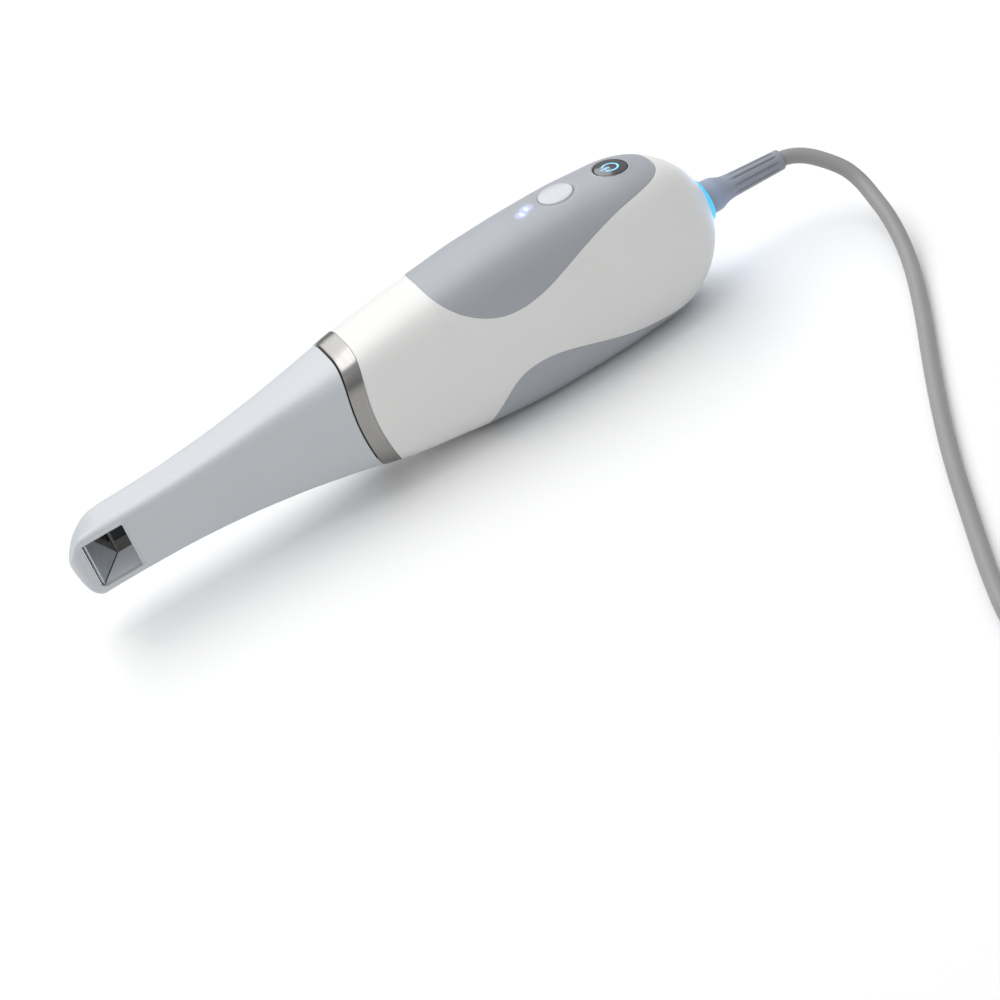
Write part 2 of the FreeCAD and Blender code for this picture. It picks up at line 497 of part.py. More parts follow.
coil = one(coil.cut(tie))
put("cable_coil", coil)
put("cable_tie", one(tie))

# the tail and the plug beside the coil
PLUG_D = V(-0.305, 0.9523, 0)
PLUG_Z = TABLE + 4.1
TAIL = [(281.0, -236.0, TABLE + 6.2), (282.6, -223.5, TABLE + 4.9), (280.8, -210.5, PLUG_Z + 0.1), (276.83, -198.1, PLUG_Z)]
tail, tail_len = lead(TAIL, CABLE_D, "tail")
put("cable_tail", tail)
print("whole lead %.0f mm" % (cable_len + tail_len + (COIL_TURNS_BOTTOM + COIL_TURNS_TOP) * 2 * math.pi * COIL_R))


def along_plug(shape):
    """Turn a shape drawn along +X from the origin to lie along the plug's direction, starting at the tail's end."""
    s = shape.copy()
    s.rotate(V(0, 0, 0), V(0, 0, 1), math.degrees(math.atan2(PLUG_D.y, PLUG_D.x)))
    s.translate(V(*TAIL[-1]))
    return s


sleeve = Part.makeCone(3.1, 3.9, 11.0, V(0, 0, 0), V(1, 0, 0))
grip = box(10.5, 40.0, -7.8, 7.8, -4.1, 4.1)
grip = grip.makeFillet(1.6, [e for e in grip.Edges if e.BoundBox.XLength > 20])
grip = grip.makeFillet(1.0, [e for e in grip.Edges if e.BoundBox.XLength < 0.01 and e.Length > 3])
plug = sleeve.fuse(grip).cut(box(34.0, 41.0, -6.0, 6.0, -2.25, 2.25))
put("plug_body", one(along_plug(plug)))
shell = box(34.0, 58.5, -6.0, 6.0, -2.25, 2.25).cut(box(35.0, 60.0, -5.7, 5.7, -1.95, 1.95))
for y in (-2.6, 2.6):
    shell = shell.cut(box(51.0, 53.2, y - 1.2, y + 1.2, -3, 3))
put("plug_shell", one(along_plug(shell)))
put("plug_insert", along_plug(box(35.0, 57.5, -5.6, 5.6, 0.1, 1.9)))
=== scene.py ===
import math
import bpy
import bmesh
import numpy as np
from mathutils import Vector, Matrix, kdtree


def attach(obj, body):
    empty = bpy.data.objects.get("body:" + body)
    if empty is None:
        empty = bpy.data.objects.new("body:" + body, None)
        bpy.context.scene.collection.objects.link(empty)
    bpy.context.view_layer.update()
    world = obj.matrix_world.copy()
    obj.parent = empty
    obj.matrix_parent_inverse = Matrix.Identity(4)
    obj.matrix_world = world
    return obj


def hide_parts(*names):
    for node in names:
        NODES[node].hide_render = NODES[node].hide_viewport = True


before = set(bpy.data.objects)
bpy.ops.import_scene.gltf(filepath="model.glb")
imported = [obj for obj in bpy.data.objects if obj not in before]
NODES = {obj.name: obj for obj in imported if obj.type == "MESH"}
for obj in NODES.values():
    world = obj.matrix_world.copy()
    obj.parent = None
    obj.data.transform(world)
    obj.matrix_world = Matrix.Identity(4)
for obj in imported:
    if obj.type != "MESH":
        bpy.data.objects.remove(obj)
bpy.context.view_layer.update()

# ---------------------------------------------------------------------------
# Everything below is worked out in millimetres from the handle's long axis,
# x from the tip's front end towards the cable, and moved into the row frame
# by W(): origin at the bottom centre, metres.
# ---------------------------------------------------------------------------
BODY_END, RELIEF_END, AXIS_H = 225.0, 253.5, 27.4


def W(p):
    return ((p[0] - RELIEF_END / 2) / 1000.0, p[1] / 1000.0, (p[2] + AXIS_H) / 1000.0)


# ---- camera ---------------------------------------------------------------
right = Vector((0.8464371, -0.415998, -0.33240021))
up = Vector((0.50220552, 0.41614418, 0.75803274))
back = Vector((-0.17701369, -0.80856026, 0.56115637))
cam_data = bpy.data.cameras.new("camera")
cam = bpy.data.objects.new("camera", cam_data)
bpy.context.scene.collection.objects.link(cam)
cam_data.sensor_width = 36.0
cam_data.lens = 106.86
cam_data.clip_start, cam_data.clip_end = 0.05, 60.0
m = Matrix.Identity(4)
for i in range(3):
    m[i][0], m[i][1], m[i][2] = right[i], up[i], back[i]
m[0][3], m[1][3], m[2][3] = -0.1648837, -0.7563722, 0.4940290
cam.matrix_world = m
bpy.context.scene.camera = cam

# ---------------------------------------------------------------------------
# materials
# ---------------------------------------------------------------------------


def new_mat(name):
    mt = bpy.data.materials.new(name)
    mt.use_nodes = True
    nt = mt.node_tree
    nt.nodes.clear()
    out = nt.nodes.new("ShaderNodeOutputMaterial")
    bs = nt.nodes.new("ShaderNodeBsdfPrincipled")
    nt.links.new(bs.outputs[0], out.inputs[0])
    return mt, nt, bs


def coords(nt, scale=(1, 1, 1), rot=(0, 0, 0)):
    tc = nt.nodes.new("ShaderNodeTexCoord")
    mp = nt.nodes.new("ShaderNodeMapping")
    mp.inputs["Scale"].default_value = scale
    mp.inputs["Rotation"].default_value = rot
    nt.links.new(tc.outputs["Object"], mp.inputs[0])
    return mp.outputs[0]


def noise(nt, vec, scale, detail=3.0, rough=0.5):
    n = nt.nodes.new("ShaderNodeTexNoise")
    n.inputs["Scale"].default_value = scale
    n.inputs["Detail"].default_value = detail
    n.inputs["Roughness"].default_value = rough
    nt.links.new(vec, n.inputs["Vector"])
    return n.outputs["Fac"]


def ramp(nt, fac, stops):
    r = nt.nodes.new("ShaderNodeValToRGB")
    while len(r.color_ramp.elements) < len(stops):
        r.color_ramp.elements.new(0.5)
    for e, (p, c) in zip(r.color_ramp.elements, stops):
        e.position = p
        e.color = (c, c, c, 1) if not isinstance(c, (tuple, list)) else (*c, 1)
    nt.links.new(fac, r.inputs[0])
    return r.outputs[0]


def mul(c, k):
    return tuple(min(1.0, v * k) for v in c)


def plastic(name, color, rough=0.35, vary=0.04, grain=2600.0, bump=0.06, rough_vary=0.06, coat=0.0, spec=0.5, sss=0.0, blotch=28.0, scratch=0.0):
    """Moulded plastic: a slow tone drift, a fine moulded grain and an uneven polish."""
    mt, nt, bs = new_mat(name)
    v = coords(nt)
    slow = noise(nt, v, blotch, 4.0, 0.55)
    col = ramp(nt, slow, [(0.3, mul(color, 1 - vary)), (0.7, mul(color, 1 + vary))])
    nt.links.new(col, bs.inputs["Base Color"])
    fine = noise(nt, v, grain, 2.0, 0.6)
    rg = ramp(nt, noise(nt, v, blotch * 4, 5.0, 0.6), [(0.25, rough - rough_vary), (0.75, rough + rough_vary)])
    nt.links.new(rg, bs.inputs["Roughness"])
    b = nt.nodes.new("ShaderNodeBump")
    b.inputs["Strength"].default_value = bump
    b.inputs["Distance"].default_value = 0.0001
    nt.links.new(fine, b.inputs["Height"])
    last = b
    if scratch:
        sv = coords(nt, (60, 700, 700))
        b2 = nt.nodes.new("ShaderNodeBump")
        b2.inputs["Strength"].default_value = scratch
        b2.inputs["Distance"].default_value = 0.0001
        nt.links.new(noise(nt, sv, 3.0, 6.0, 0.7), b2.inputs["Height"])
        nt.links.new(b.outputs[0], b2.inputs["Normal"])
        last = b2
    nt.links.new(last.outputs[0], bs.inputs["Normal"])
    bs.inputs["Specular IOR Level"].default_value = spec
    if coat:
        bs.inputs["Coat Weight"].default_value = coat
        bs.inputs["Coat Roughness"].default_value = 0.12
    if sss:
        bs.inputs["Subsurface Weight"].default_value = sss
        bs.inputs["Subsurface Radius"].default_value = (0.0012, 0.0011, 0.001)
        bs.inputs["Subsurface Scale"].default_value = 1.0
    return mt


def metal(name, color, rough=0.25, brush=(1, 1, 1), brush_scale=900.0, bump=0.05, vary=0.05):
    mt, nt, bs = new_mat(name)
    v = coords(nt, brush)
    n = noise(nt, v, brush_scale, 5.0, 0.65)
    nt.links.new(ramp(nt, n, [(0.3, mul(color, 1 - vary)), (0.7, mul(color, 1 + vary))]), bs.inputs["Base Color"])
    nt.links.new(ramp(nt, n, [(0.3, rough * 0.8), (0.7, rough * 1.25)]), bs.inputs["Roughness"])
    b = nt.nodes.new("ShaderNodeBump")
    b.inputs["Strength"].default_value = bump
    b.inputs["Distance"].default_value = 0.0001
    nt.links.new(n, b.inputs["Height"])
    nt.links.new(b.outputs[0], bs.inputs["Normal"])
    bs.inputs["Metallic"].default_value = 1.0
    return mt


def glow(name, inner, outer, strength, base=0.15):
    """A lit diffuser: its glow varies between an inner and an outer tone with a fine noise."""
    mt, nt, bs = new_mat(name)
    v = coords(nt)
    n = noise(nt, v, 700.0, 2.0, 0.5)
    c = ramp(nt, n, [(0.2, outer), (0.8, inner)])
    nt.links.new(ramp(nt, n, [(0.2, mul(outer, base)), (0.8, mul(inner, base))]), bs.inputs["Base Color"])
    nt.links.new(c, bs.inputs["Emission Color"])
    bs.inputs["Emission Strength"].default_value = strength
    bs.inputs["Roughness"].default_value = 0.3
    return mt


WHITE = plastic("mat_white_shell", (0.755, 0.75, 0.74), 0.36, 0.012, 3200.0, 0.05, 0.05, coat=0.05, spec=0.3)
GREY = plastic("mat_grey_cover", (0.355, 0.375, 0.405), 0.46, 0.02, 2400.0, 0.10, 0.05)
TIP = plastic("mat_tip_plastic", (0.535, 0.555, 0.578), 0.42, 0.015, 2800.0, 0.07, 0.05)
CHANNEL = plastic("mat_tip_channel", (0.50, 0.52, 0.54), 0.40, 0.02, 2400.0, 0.06, 0.05)
CHANNEL.node_tree.nodes["Principled BSDF"].inputs["Emission Color"].default_value = (0.80, 0.84, 0.90, 1)
CHANNEL.node_tree.nodes["Principled BSDF"].inputs["Emission Strength"].default_value = 0.16     # painted glow: emission standing in for light coming through the thin wall
# far wall's colour: partly the wall's brownish tone, partly painted shade of the channel's inside
FAR_WALL_DARK = plastic("mat_far_wall_tone_and_shade", (0.17, 0.155, 0.135), 0.5, 0.08, 1500.0, 0.12, 0.07, blotch=140.0)
BLACK = plastic("mat_black_plastic", (0.012, 0.012, 0.013), 0.55, 0.2, 1800.0, 0.12, 0.08)
NOSE = plastic("mat_nose_plastic", (0.30, 0.32, 0.34), 0.45, 0.03, 2000.0, 0.10, 0.06)
BTN_W = plastic("mat_button_white", (0.545, 0.555, 0.595), 0.30, 0.01, 3000.0, 0.03, 0.04, coat=0.2)
BTN_B = plastic("mat_button_black", (0.022, 0.023, 0.028), 0.16, 0.2, 3000.0, 0.02, 0.04, coat=0.8)
RELIEF = plastic("mat_relief_rubber", (0.262, 0.277, 0.312), 0.52, 0.06, 1500.0, 0.18, 0.07)
JACKET = plastic("mat_cable_jacket", (0.285, 0.28, 0.276), 0.50, 0.03, 1600.0, 0.16, 0.06, blotch=60.0)
SEAL = plastic("mat_seal_rubber", (0.03, 0.03, 0.032), 0.6, 0.15, 1500.0, 0.2, 0.08)
PLUGP = plastic("mat_plug_plastic", (0.055, 0.057, 0.06), 0.5, 0.1, 1400.0, 0.25, 0.07)
PLUGB = plastic("mat_plug_blue", (0.02, 0.16, 0.55), 0.35, 0.06, 1500.0, 0.08, 0.06)
CHIP = plastic("mat_chip_black", (0.02, 0.02, 0.022), 0.5, 0.2, 1500.0, 0.2, 0.08)
FLEX = plastic("mat_flex_film", (0.55, 0.27, 0.05), 0.3, 0.08, 900.0, 0.06, 0.05)
STEEL = metal("mat_spring_steel", (0.62, 0.61, 0.59), 0.28)
FRAMEM = metal("mat_metal_frame", (0.56, 0.57, 0.58), 0.38)
HEAT = metal("mat_heat_metal", (0.34, 0.35, 0.37), 0.45)
SCREW = metal("mat_screw_metal", (0.66, 0.65, 0.62), 0.25)
PLUGM = metal("mat_plug_metal", (0.70, 0.70, 0.69), 0.22, (1, 1, 1), 700.0)
WIRE = plastic("mat_wire_mix", (0.45, 0.08, 0.06), 0.4, 0.35, 900.0, 0.2, 0.06, blotch=900.0)

# brushed satin collar: fine lines round the ring
COLLAR, nt, bs = new_mat("mat_collar_metal")
lines = noise(nt, coords(nt, (9000, 60, 60)), 1.0, 4.0, 0.6)
smear = noise(nt, coords(nt, (1, 1, 1)), 60.0, 3.0, 0.5)
nt.links.new(ramp(nt, lines, [(0.25, (0.265, 0.258, 0.25)), (0.75, (0.325, 0.318, 0.308))]), bs.inputs["Base Color"])
nt.links.new(ramp(nt, smear, [(0.3, 0.19), (0.7, 0.27)]), bs.inputs["Roughness"])
b = nt.nodes.new("ShaderNodeBump")
b.inputs["Strength"].default_value = 0.10
b.inputs["Distance"].default_value = 0.00005
nt.links.new(lines, b.inputs["Height"])
nt.links.new(b.outputs[0], bs.inputs["Normal"])
bs.inputs["Metallic"].default_value = 1.0

# first-surface mirror, faintly uneven, a hair dusty
MIRROR, nt, bs = new_mat("mat_mirror_glass")
dust = noise(nt, coords(nt), 450.0, 6.0, 0.7)
nt.links.new(ramp(nt, dust, [(0.3, (0.62, 0.64, 0.66)), (0.8, (0.72, 0.74, 0.76))]), bs.inputs["Base Color"])
nt.links.new(ramp(nt, dust, [(0.35, 0.05), (0.8, 0.16)]), bs.inputs["Roughness"])
bs.inputs["Metallic"].default_value = 1.0

# clear optics
OPTIC, nt, bs = new_mat("mat_optic_glass")
ct = noise(nt, coords(nt), 220.0, 3.0, 0.5)
nt.links.new(ramp(nt, ct, [(0.3, (0.80, 0.86, 0.95)), (0.7, (0.92, 0.95, 0.99))]), bs.inputs["Base Color"])
nt.links.new(ramp(nt, ct, [(0.3, 0.02), (0.7, 0.05)]), bs.inputs["Roughness"])
bs.inputs["Transmission Weight"].default_value = 0.9
bs.inputs["IOR"].default_value = 1.5

# circuit board: solder mask with fine traces
BOARD, nt, bs = new_mat("mat_board_green")
v = coords(nt)
br = nt.nodes.new("ShaderNodeTexBrick")
br.inputs["Scale"].default_value = 160.0
br.inputs["Mortar Size"].default_value = 0.05
br.inputs["Color1"].default_value = (0.012, 0.11, 0.045, 1)
br.inputs["Color2"].default_value = (0.015, 0.14, 0.055, 1)
br.inputs["Mortar"].default_value = (0.05, 0.26, 0.10, 1)
nt.links.new(v, br.inputs["Vector"])
nt.links.new(br.outputs["Color"], bs.inputs["Base Color"])
nt.links.new(ramp(nt, noise(nt, v, 300.0), [(0.3, 0.28), (0.7, 0.42)]), bs.inputs["Roughness"])

# woven tie
TIE, nt, bs = new_mat("mat_tie_fabric")
wv = nt.nodes.new("ShaderNodeTexWave")
wv.inputs["Scale"].default_value = 420.0
wv.inputs["Distortion"].default_value = 0.6
wv.inputs["Detail"].default_value = 2.0
nt.links.new(coords(nt, (1, 1, 1), (0, 0, math.radians(-28))), wv.inputs["Vector"])
wv2 = nt.nodes.new("ShaderNodeTexWave")
wv2.inputs["Scale"].default_value = 420.0
wv2.inputs["Distortion"].default_value = 0.6
nt.links.new(coords(nt, (1, 1, 1), (0, 0, math.radians(62))), wv2.inputs["Vector"])
mx = nt.nodes.new("ShaderNodeMath")
mx.operation = "MULTIPLY"
nt.links.new(wv.outputs["Fac"], mx.inputs[0])
nt.links.new(wv2.outputs["Fac"], mx.inputs[1])
nt.links.new(ramp(nt, mx.outputs[0], [(0.0, (0.018, 0.018, 0.02)), (0.8, (0.065, 0.066, 0.07))]), bs.inputs["Base Color"])
b = nt.nodes.new("ShaderNodeBump")
b.inputs["Strength"].default_value = 0.6
b.inputs["Distance"].default_value = 0.0002
nt.links.new(mx.outputs[0], b.inputs["Height"])
nt.links.new(b.outputs[0], bs.inputs["Normal"])
nt.links.new(ramp(nt, mx.outputs[0], [(0.0, 0.75), (1.0, 0.9)]), bs.inputs["Roughness"])

RING = glow("mat_ring_glow", (0.12, 0.60, 0.93), (0.07, 0.50, 0.88), 1.0)
ICON = glow("mat_icon_glow", (0.30, 0.80, 1.0), (0.10, 0.38, 0.95), 1.5)
LED = glow("mat_led_glow", (0.62, 0.92, 1.0), (0.35, 0.74, 1.0), 1.5)

NODE_MAT = {
    "tip_sleeve": TIP, "tip_mirror": MIRROR, "tip_baffle": BLACK, "collar_ring": COLLAR, "handle_nose": NOSE,
    "nose_seal": SEAL, "tip_clips": STEEL, "nose_window": OPTIC, "main_housing": WHITE, "top_cover": GREY,
    "bottom_cover": GREY, "indicator_lens": LED, "button_board": BOARD, "switch_bodies": CHIP, "indicator_leds": LED,
    "lens_barrel": BLACK, "front_lens": OPTIC, "rear_lens": OPTIC, "beam_splitter": OPTIC, "image_sensor": CHIP,
    "sensor_board": BOARD, "projector_lens": OPTIC, "projector_module": FRAMEM, "optical_frame": FRAMEM,
    "main_board": BOARD, "board_chips": CHIP, "heat_sink": HEAT, "cable_socket": PLUGP, "button_flex": FLEX,
    "board_screws": SCREW, "light_ring": RING, "ring_led_board": BOARD, "strain_relief": RELIEF, "wire_harness": WIRE,
    "cable": JACKET, "cable_coil": JACKET, "cable_tie": TIE, "cable_tail": JACKET, "plug_body": PLUGP,
    "plug_shell": PLUGM, "plug_insert": PLUGB, "scan_button": BTN_W, "scan_plunger": CHIP, "power_button": BTN_B,
    "power_icon": ICON, "power_plunger": CHIP,
}
for name, ob in NODES.items():
    for s in ob.material_slots:
        s.material = NODE_MAT[name]
    if not ob.material_slots:
        ob.data.materials.append(NODE_MAT[name])

# ---------------------------------------------------------------------------
# the outer skin, as in the CAD model
# ---------------------------------------------------------------------------
PX = [0.0, 15.0, 30.0, 50.0, 70.0, 85.0, 94.0, 101.0, 107.0, 120.0, 135.0, 150.0, 165.0, 180.0, 195.0, 225.0]
PW = [7.85, 7.96, 8.27, 9.02, 10.67, 13.10, 14.75, 15.80, 16.35, 17.35, 18.25, 18.90, 19.05, 18.90, 18.25, 17.0]
PH = [10.80, 10.85, 11.08, 12.35, 14.90, 17.30, 19.00, 20.60, 22.00, 24.15, 26.15, 27.70, 28.20, 28.05, 27.10, 26.0]
PZ = [0.25, 0.27, 0.40, 0.54, 0.60, 0.50, 0.35, 0.15, 0.0, 0.0, -0.20, -0.20, 0.0, 0.25, 0.35, 0.10]
NX = [0.0, 50.0, 75.0, 101.0, 130.0, 165.0, 207.0, 225.0]
NN = [5.7, 5.3, 4.4, 3.6, 3.15, 2.98, 2.95, 2.2]
DOME_X, DOME_MH, DOME_MW = 195.0, 2.18, 2.45
NEAR_R, NEAR_M = 2.5, 2.0
FAR_R, FAR_M = 18.0, 1.57
TOP_R, TOP_M = 13.0, 1.6
TOPN_R, TOPN_M = 6.5, 2.0
BOT_R, BOT_M = 5.5, 2.0
TIP_BACK, RING_BACK, BOW_F, BOW_R, TIP_GAP = 94.07, 99.28, 2.54, 3.42, 0.35


class Curve:
    """Monotone cubic through a table, for numpy arrays."""

    def __init__(self, xs, ys):
        self.x = np.array(xs, float)
        self.y = np.array(ys, float)
        h = np.diff(self.x)
        d = np.diff(self.y) / h
        mm = np.zeros(len(xs))
        for i in range(1, len(xs) - 1):
            if d[i - 1] * d[i] > 0:
                w1, w2 = 2 * h[i] + h[i - 1], h[i] + 2 * h[i - 1]
                mm[i] = (w1 + w2) / (w1 / d[i - 1] + w2 / d[i])
        mm[0], mm[-1] = d[0], d[-1]
        self.m = mm

    def __call__(self, x):
        x = np.clip(np.asarray(x, float), self.x[0], self.x[-1])
        i = np.clip(np.searchsorted(self.x, x, side="right") - 1, 0, len(self.x) - 2)
        h = self.x[i + 1] - self.x[i]
        t = (x - self.x[i]) / h
        return ((1 + 2 * t) * (1 - t) ** 2 * self.y[i] + t * (1 - t) ** 2 * h * self.m[i]
                + t * t * (3 - 2 * t) * self.y[i + 1] + t * t * (t - 1) * h * self.m[i + 1])


fw, fh, fz, fn = Curve(PX, PW), Curve(PX, PH), Curve(PX, PZ), Curve(NX, NN)


def close(x, r, k):
    x = np.asarray(x, float)
    u = np.clip((r - x) / r, 0, 1)
    return np.maximum(0.0, 1 - u ** k) ** (1.0 / k)


def skin(x):
    x = np.asarray(x, float)
    w, h, zc, n = fw(x), fh(x), fz(x), fn(x)
    u = np.clip((x - DOME_X) / (BODY_END - DOME_X), 0, 1)
    h = h * np.maximum(0.0, 1 - u ** DOME_MH) ** (1 / DOME_MH)
    w = w * np.maximum(0.0, 1 - u ** DOME_MW) ** (1 / DOME_MW)
    zc = zc * (1 - u ** 2)
    return (-w * close(x, NEAR_R, NEAR_M), w * close(x, FAR_R, FAR_M), zc - h, zc + h, n)


def top_close(x, s):
    """How far the top has closed at x, for s from 0 on the near side to 1 on the far side."""
    s = np.clip((s - 0.06) / 0.5, 0, 1)
    s = s * s * (3 - 2 * s)
    return close(x, TOPN_R, TOPN_M) * (1 - s) + close(x, TOP_R, TOP_M) * s


def point(x, phi, off=0.0):
    """The skin's point at x in direction phi of its section, drawn in by off.  Arrays welcome."""
    y0, y1, z0, z1, n = skin(x)
    yc, zc, h = (y0 + y1) / 2, (z0 + z1) / 2, np.maximum((z1 - z0) / 2, 1e-3)
    w = np.maximum((y1 - y0) / 2, 1e-3)
    c, s = np.cos(phi), np.sin(phi)
    r = (np.abs(c / w) ** n + np.abs(s / h) ** n) ** (-1.0 / n)
    q = r * c / w
    up_h = np.maximum(h * top_close(x, (q + 1) / 2) - off, 1e-3)
    dn_h = np.maximum(h * close(x, BOT_R, BOT_M) - off, 1e-3)
    return yc + q * np.maximum(w - off, 1e-3), zc + r * s / h * np.where(s > 0, up_h, dn_h)


def xyz(x, phi, off=0.0):
    x = np.asarray(x, float) + 0 * np.asarray(phi, float)
    y, z = point(x, phi, off)
    return np.stack([x, y, np.maximum(z, -AXIS_H + 0 * z)], -1)


def angle_at_z(x, z, side):
    """Direction on the side (-1 near, +1 far) where the section at x has height z; the pole if it is out of reach."""
    y0, y1, z0, z1, n = [float(v) for v in skin(x)]
    yc, zc, w, h = (y0 + y1) / 2, (z0 + z1) / 2, (y1 - y0) / 2, (z1 - z0) / 2
    s = (z - zc) / h / float(close(x, TOPN_R, TOPN_M) if z > zc else close(x, BOT_R, BOT_M))
    if s >= 1:
        return math.pi / 2
    if s <= -1:
        return -math.pi / 2 if side > 0 else 3 * math.pi / 2
    c = side * (1 - abs(s) ** n) ** (1 / n)
    a = math.atan2(s * h, c * w)
    if side < 0 and a < 0:
        a += 2 * math.pi
    return a


def spread(x, a, b, dists, k, off=0.0):
    """Directions along the section at x from a to b: at the given distances from both ends, and k steps between."""
    ph = np.linspace(a, b, 400)
    P = xyz(np.full(400, float(x)), ph, off)
    d = np.concatenate([[0], np.cumsum(np.linalg.norm(np.diff(P, axis=0), axis=1))])
    L = d[-1]
    if L < 1e-6:
        return np.full(2 * len(dists) + k - 1, a)
    q = np.array(dists) * min(1.0, L / (4 * max(dists) + 1e-9)) if len(dists) and max(dists) > 0 else np.array(dists)
    mid = np.linspace(q[-1], L - q[-1], k + 1)[1:-1]
    t = np.concatenate([q, mid, (L - q)[::-1]])
    return np.interp(t, d, ph)


def mesh_object(name, verts, faces, mat, smooth=True, sharp=None):
    me = bpy.data.meshes.new(name)
    me.from_pydata([W(v) for v in verts], [], faces)
    me.validate()
    bm = bmesh.new()
    bm.from_mesh(me)
    bmesh.ops.remove_doubles(bm, verts=bm.verts, dist=2e-6)
    bmesh.ops.dissolve_degenerate(bm, dist=1e-7, edges=bm.edges)
    bmesh.ops.recalc_face_normals(bm, faces=bm.faces)
    bm.to_mesh(me)
    bm.free()
    me.polygons.foreach_set("use_smooth", [smooth] * len(me.polygons))
    if sharp:
        me.set_sharp_from_angle(angle=math.radians(sharp))
    ob = bpy.data.objects.new(name, me)
    bpy.context.scene.collection.objects.link(ob)
    me.materials.append(mat)
    return ob


class Grid:
    """Collects rows of points into one mesh."""

    def __init__(self):
        self.v, self.f = [], []

    def add(self, rows, closed=False):
        """rows: array (r, c, 3)."""
        rows = np.asarray(rows, float)
        r, c, _ = rows.shape
        o = len(self.v)
        self.v.extend(rows.reshape(-1, 3).tolist())
        for i in range(r - 1):
            for j in range(c if closed else c - 1):
                k = (j + 1) % c
                self.f.append((o + i * c + j, o + i * c + k, o + (i + 1) * c + k, o + (i + 1) * c + j))
        return o


def roll(d, r):
    """How far the surface drops at distance d from an edge of radius r."""
    d = np.clip(d, 0, r)
    return r - np.sqrt(np.maximum(0, r * r - (r - d) ** 2))


# ---------------------------------------------------------------------------
# bowed bands: rows that lean into the collar's bow
# ---------------------------------------------------------------------------


def bow_at(x0, k, z):
    h, zc = float(fh(x0)), float(fz(x0))
    return x0 + k * ((z - zc) / h) ** 2


def band_points(us, phis, edge_x, k, fade0, off=None):
    """Rows at positions us (as measured at mid height) whose line is bowed fully at edge_x and straight at fade0."""
    rows = []
    for i, u in enumerate(us):
        g = np.clip((u - fade0) / (edge_x - fade0), 0, None)
        g = g * g * (3 - 2 * g) if g < 1 else 1.0
        o = 0.0 if off is None else off[i]
        x = np.full(len(phis), float(u))
        for _ in range(6):
            P = xyz(x, phis, o)
            z = P[:, 2]
            h, zc = float(fh(edge_x)), float(fz(edge_x))
            x = u + k * g * ((z - zc) / h) ** 2
        rows.append(xyz(x, phis, o))
    return np.array(rows)


def ring_dirs(x, k, off=0.0):
    """k directions round the section at x, evenly spaced along it, starting at the near side (phi = pi)."""
    ph = np.linspace(math.pi, 3 * math.pi, 1600)
    P = xyz(np.full(1600, float(x)), ph, off)
    d = np.concatenate([[0], np.cumsum(np.linalg.norm(np.diff(P, axis=0), axis=1))])
    return np.interp(np.linspace(0, d[-1], k + 1)[:-1], d, ph)


# ---------------------------------------------------------------------------
# tip sleeve
# ---------------------------------------------------------------------------
WX0, WX1, WZ0, WZ1 = 4.8, 18.6, -7.3, 8.5
FAR_WALL_Y, TIP_WALL = 5.4, 1.4
MIR_A, MIR_B = (5.0, -7.7), (14.6, 5.4)        # ends of the mirror's face seen from above
MIR_L = math.hypot(MIR_B[0] - MIR_A[0], MIR_B[1] - MIR_A[1])
MIR_N = ((MIR_B[1] - MIR_A[1]) / MIR_L, -(MIR_B[0] - MIR_A[0]) / MIR_L)      # out of the glass


def window_limits(x):
    """Lower and upper height of the window's rounded outline at x."""
    def corner(dx, r):
        return r - math.sqrt(max(0.0, r * r - (r - dx) ** 2)) if dx < r else 0.0
    x = min(max(x, WX0), WX1)
    lo = WZ0 + max(corner(x - WX0, 1.9), corner(WX1 - x, 0.5))
    hi = WZ1 - max(corner(x - WX0, 0.6), corner(WX1 - x, 0.5))
    return lo, hi


win_pts = []
for t in np.linspace(0, 1, 240):
    x = WX0 + (WX1 - WX0) * t
    lo, hi = window_limits(x)
    win_pts += [(x, lo), (x, hi)]
for x in (WX0, WX1):
    lo, hi = window_limits(x)
    for t in np.linspace(0, 1, 200):
        win_pts.append((x, lo + (hi - lo) * t))
for xc, zc, r in ((WX0 + 1.9, WZ0 + 1.9, 1.9), (WX0 + 0.6, WZ1 - 0.6, 0.6), (WX1 - 0.5, WZ0 + 0.5, 0.5), (WX1 - 0.5, WZ1 - 0.5, 0.5)):
    sx, sz = (-1 if xc < 10 else 1), (-1 if zc < 0 else 1)
    for t in np.linspace(0, math.pi / 2, 40):
        win_pts.append((xc + sx * r * math.cos(t), zc + sz * r * math.sin(t)))
win_tree = kdtree.KDTree(len(win_pts))
for i, (x, z) in enumerate(win_pts):
    win_tree.insert((x, z, 0), i)
win_tree.balance()


def rim_lift(P):
    """The window's thin raised rim: a low rounded bead that drops away right at the opening."""
    out = P.copy()
    for i, (x, y, z) in enumerate(P):
        if y < -6.0 and 2.0 < x < 22.0:
            d = win_tree.find((x, z, 0))[2]
            if d < 1.5:
                lift = 0.24 * math.exp(-((d - 0.40) / 0.30) ** 2) - 0.6 * float(roll(d, 0.2))
                out[i, 1] -= lift
    return out


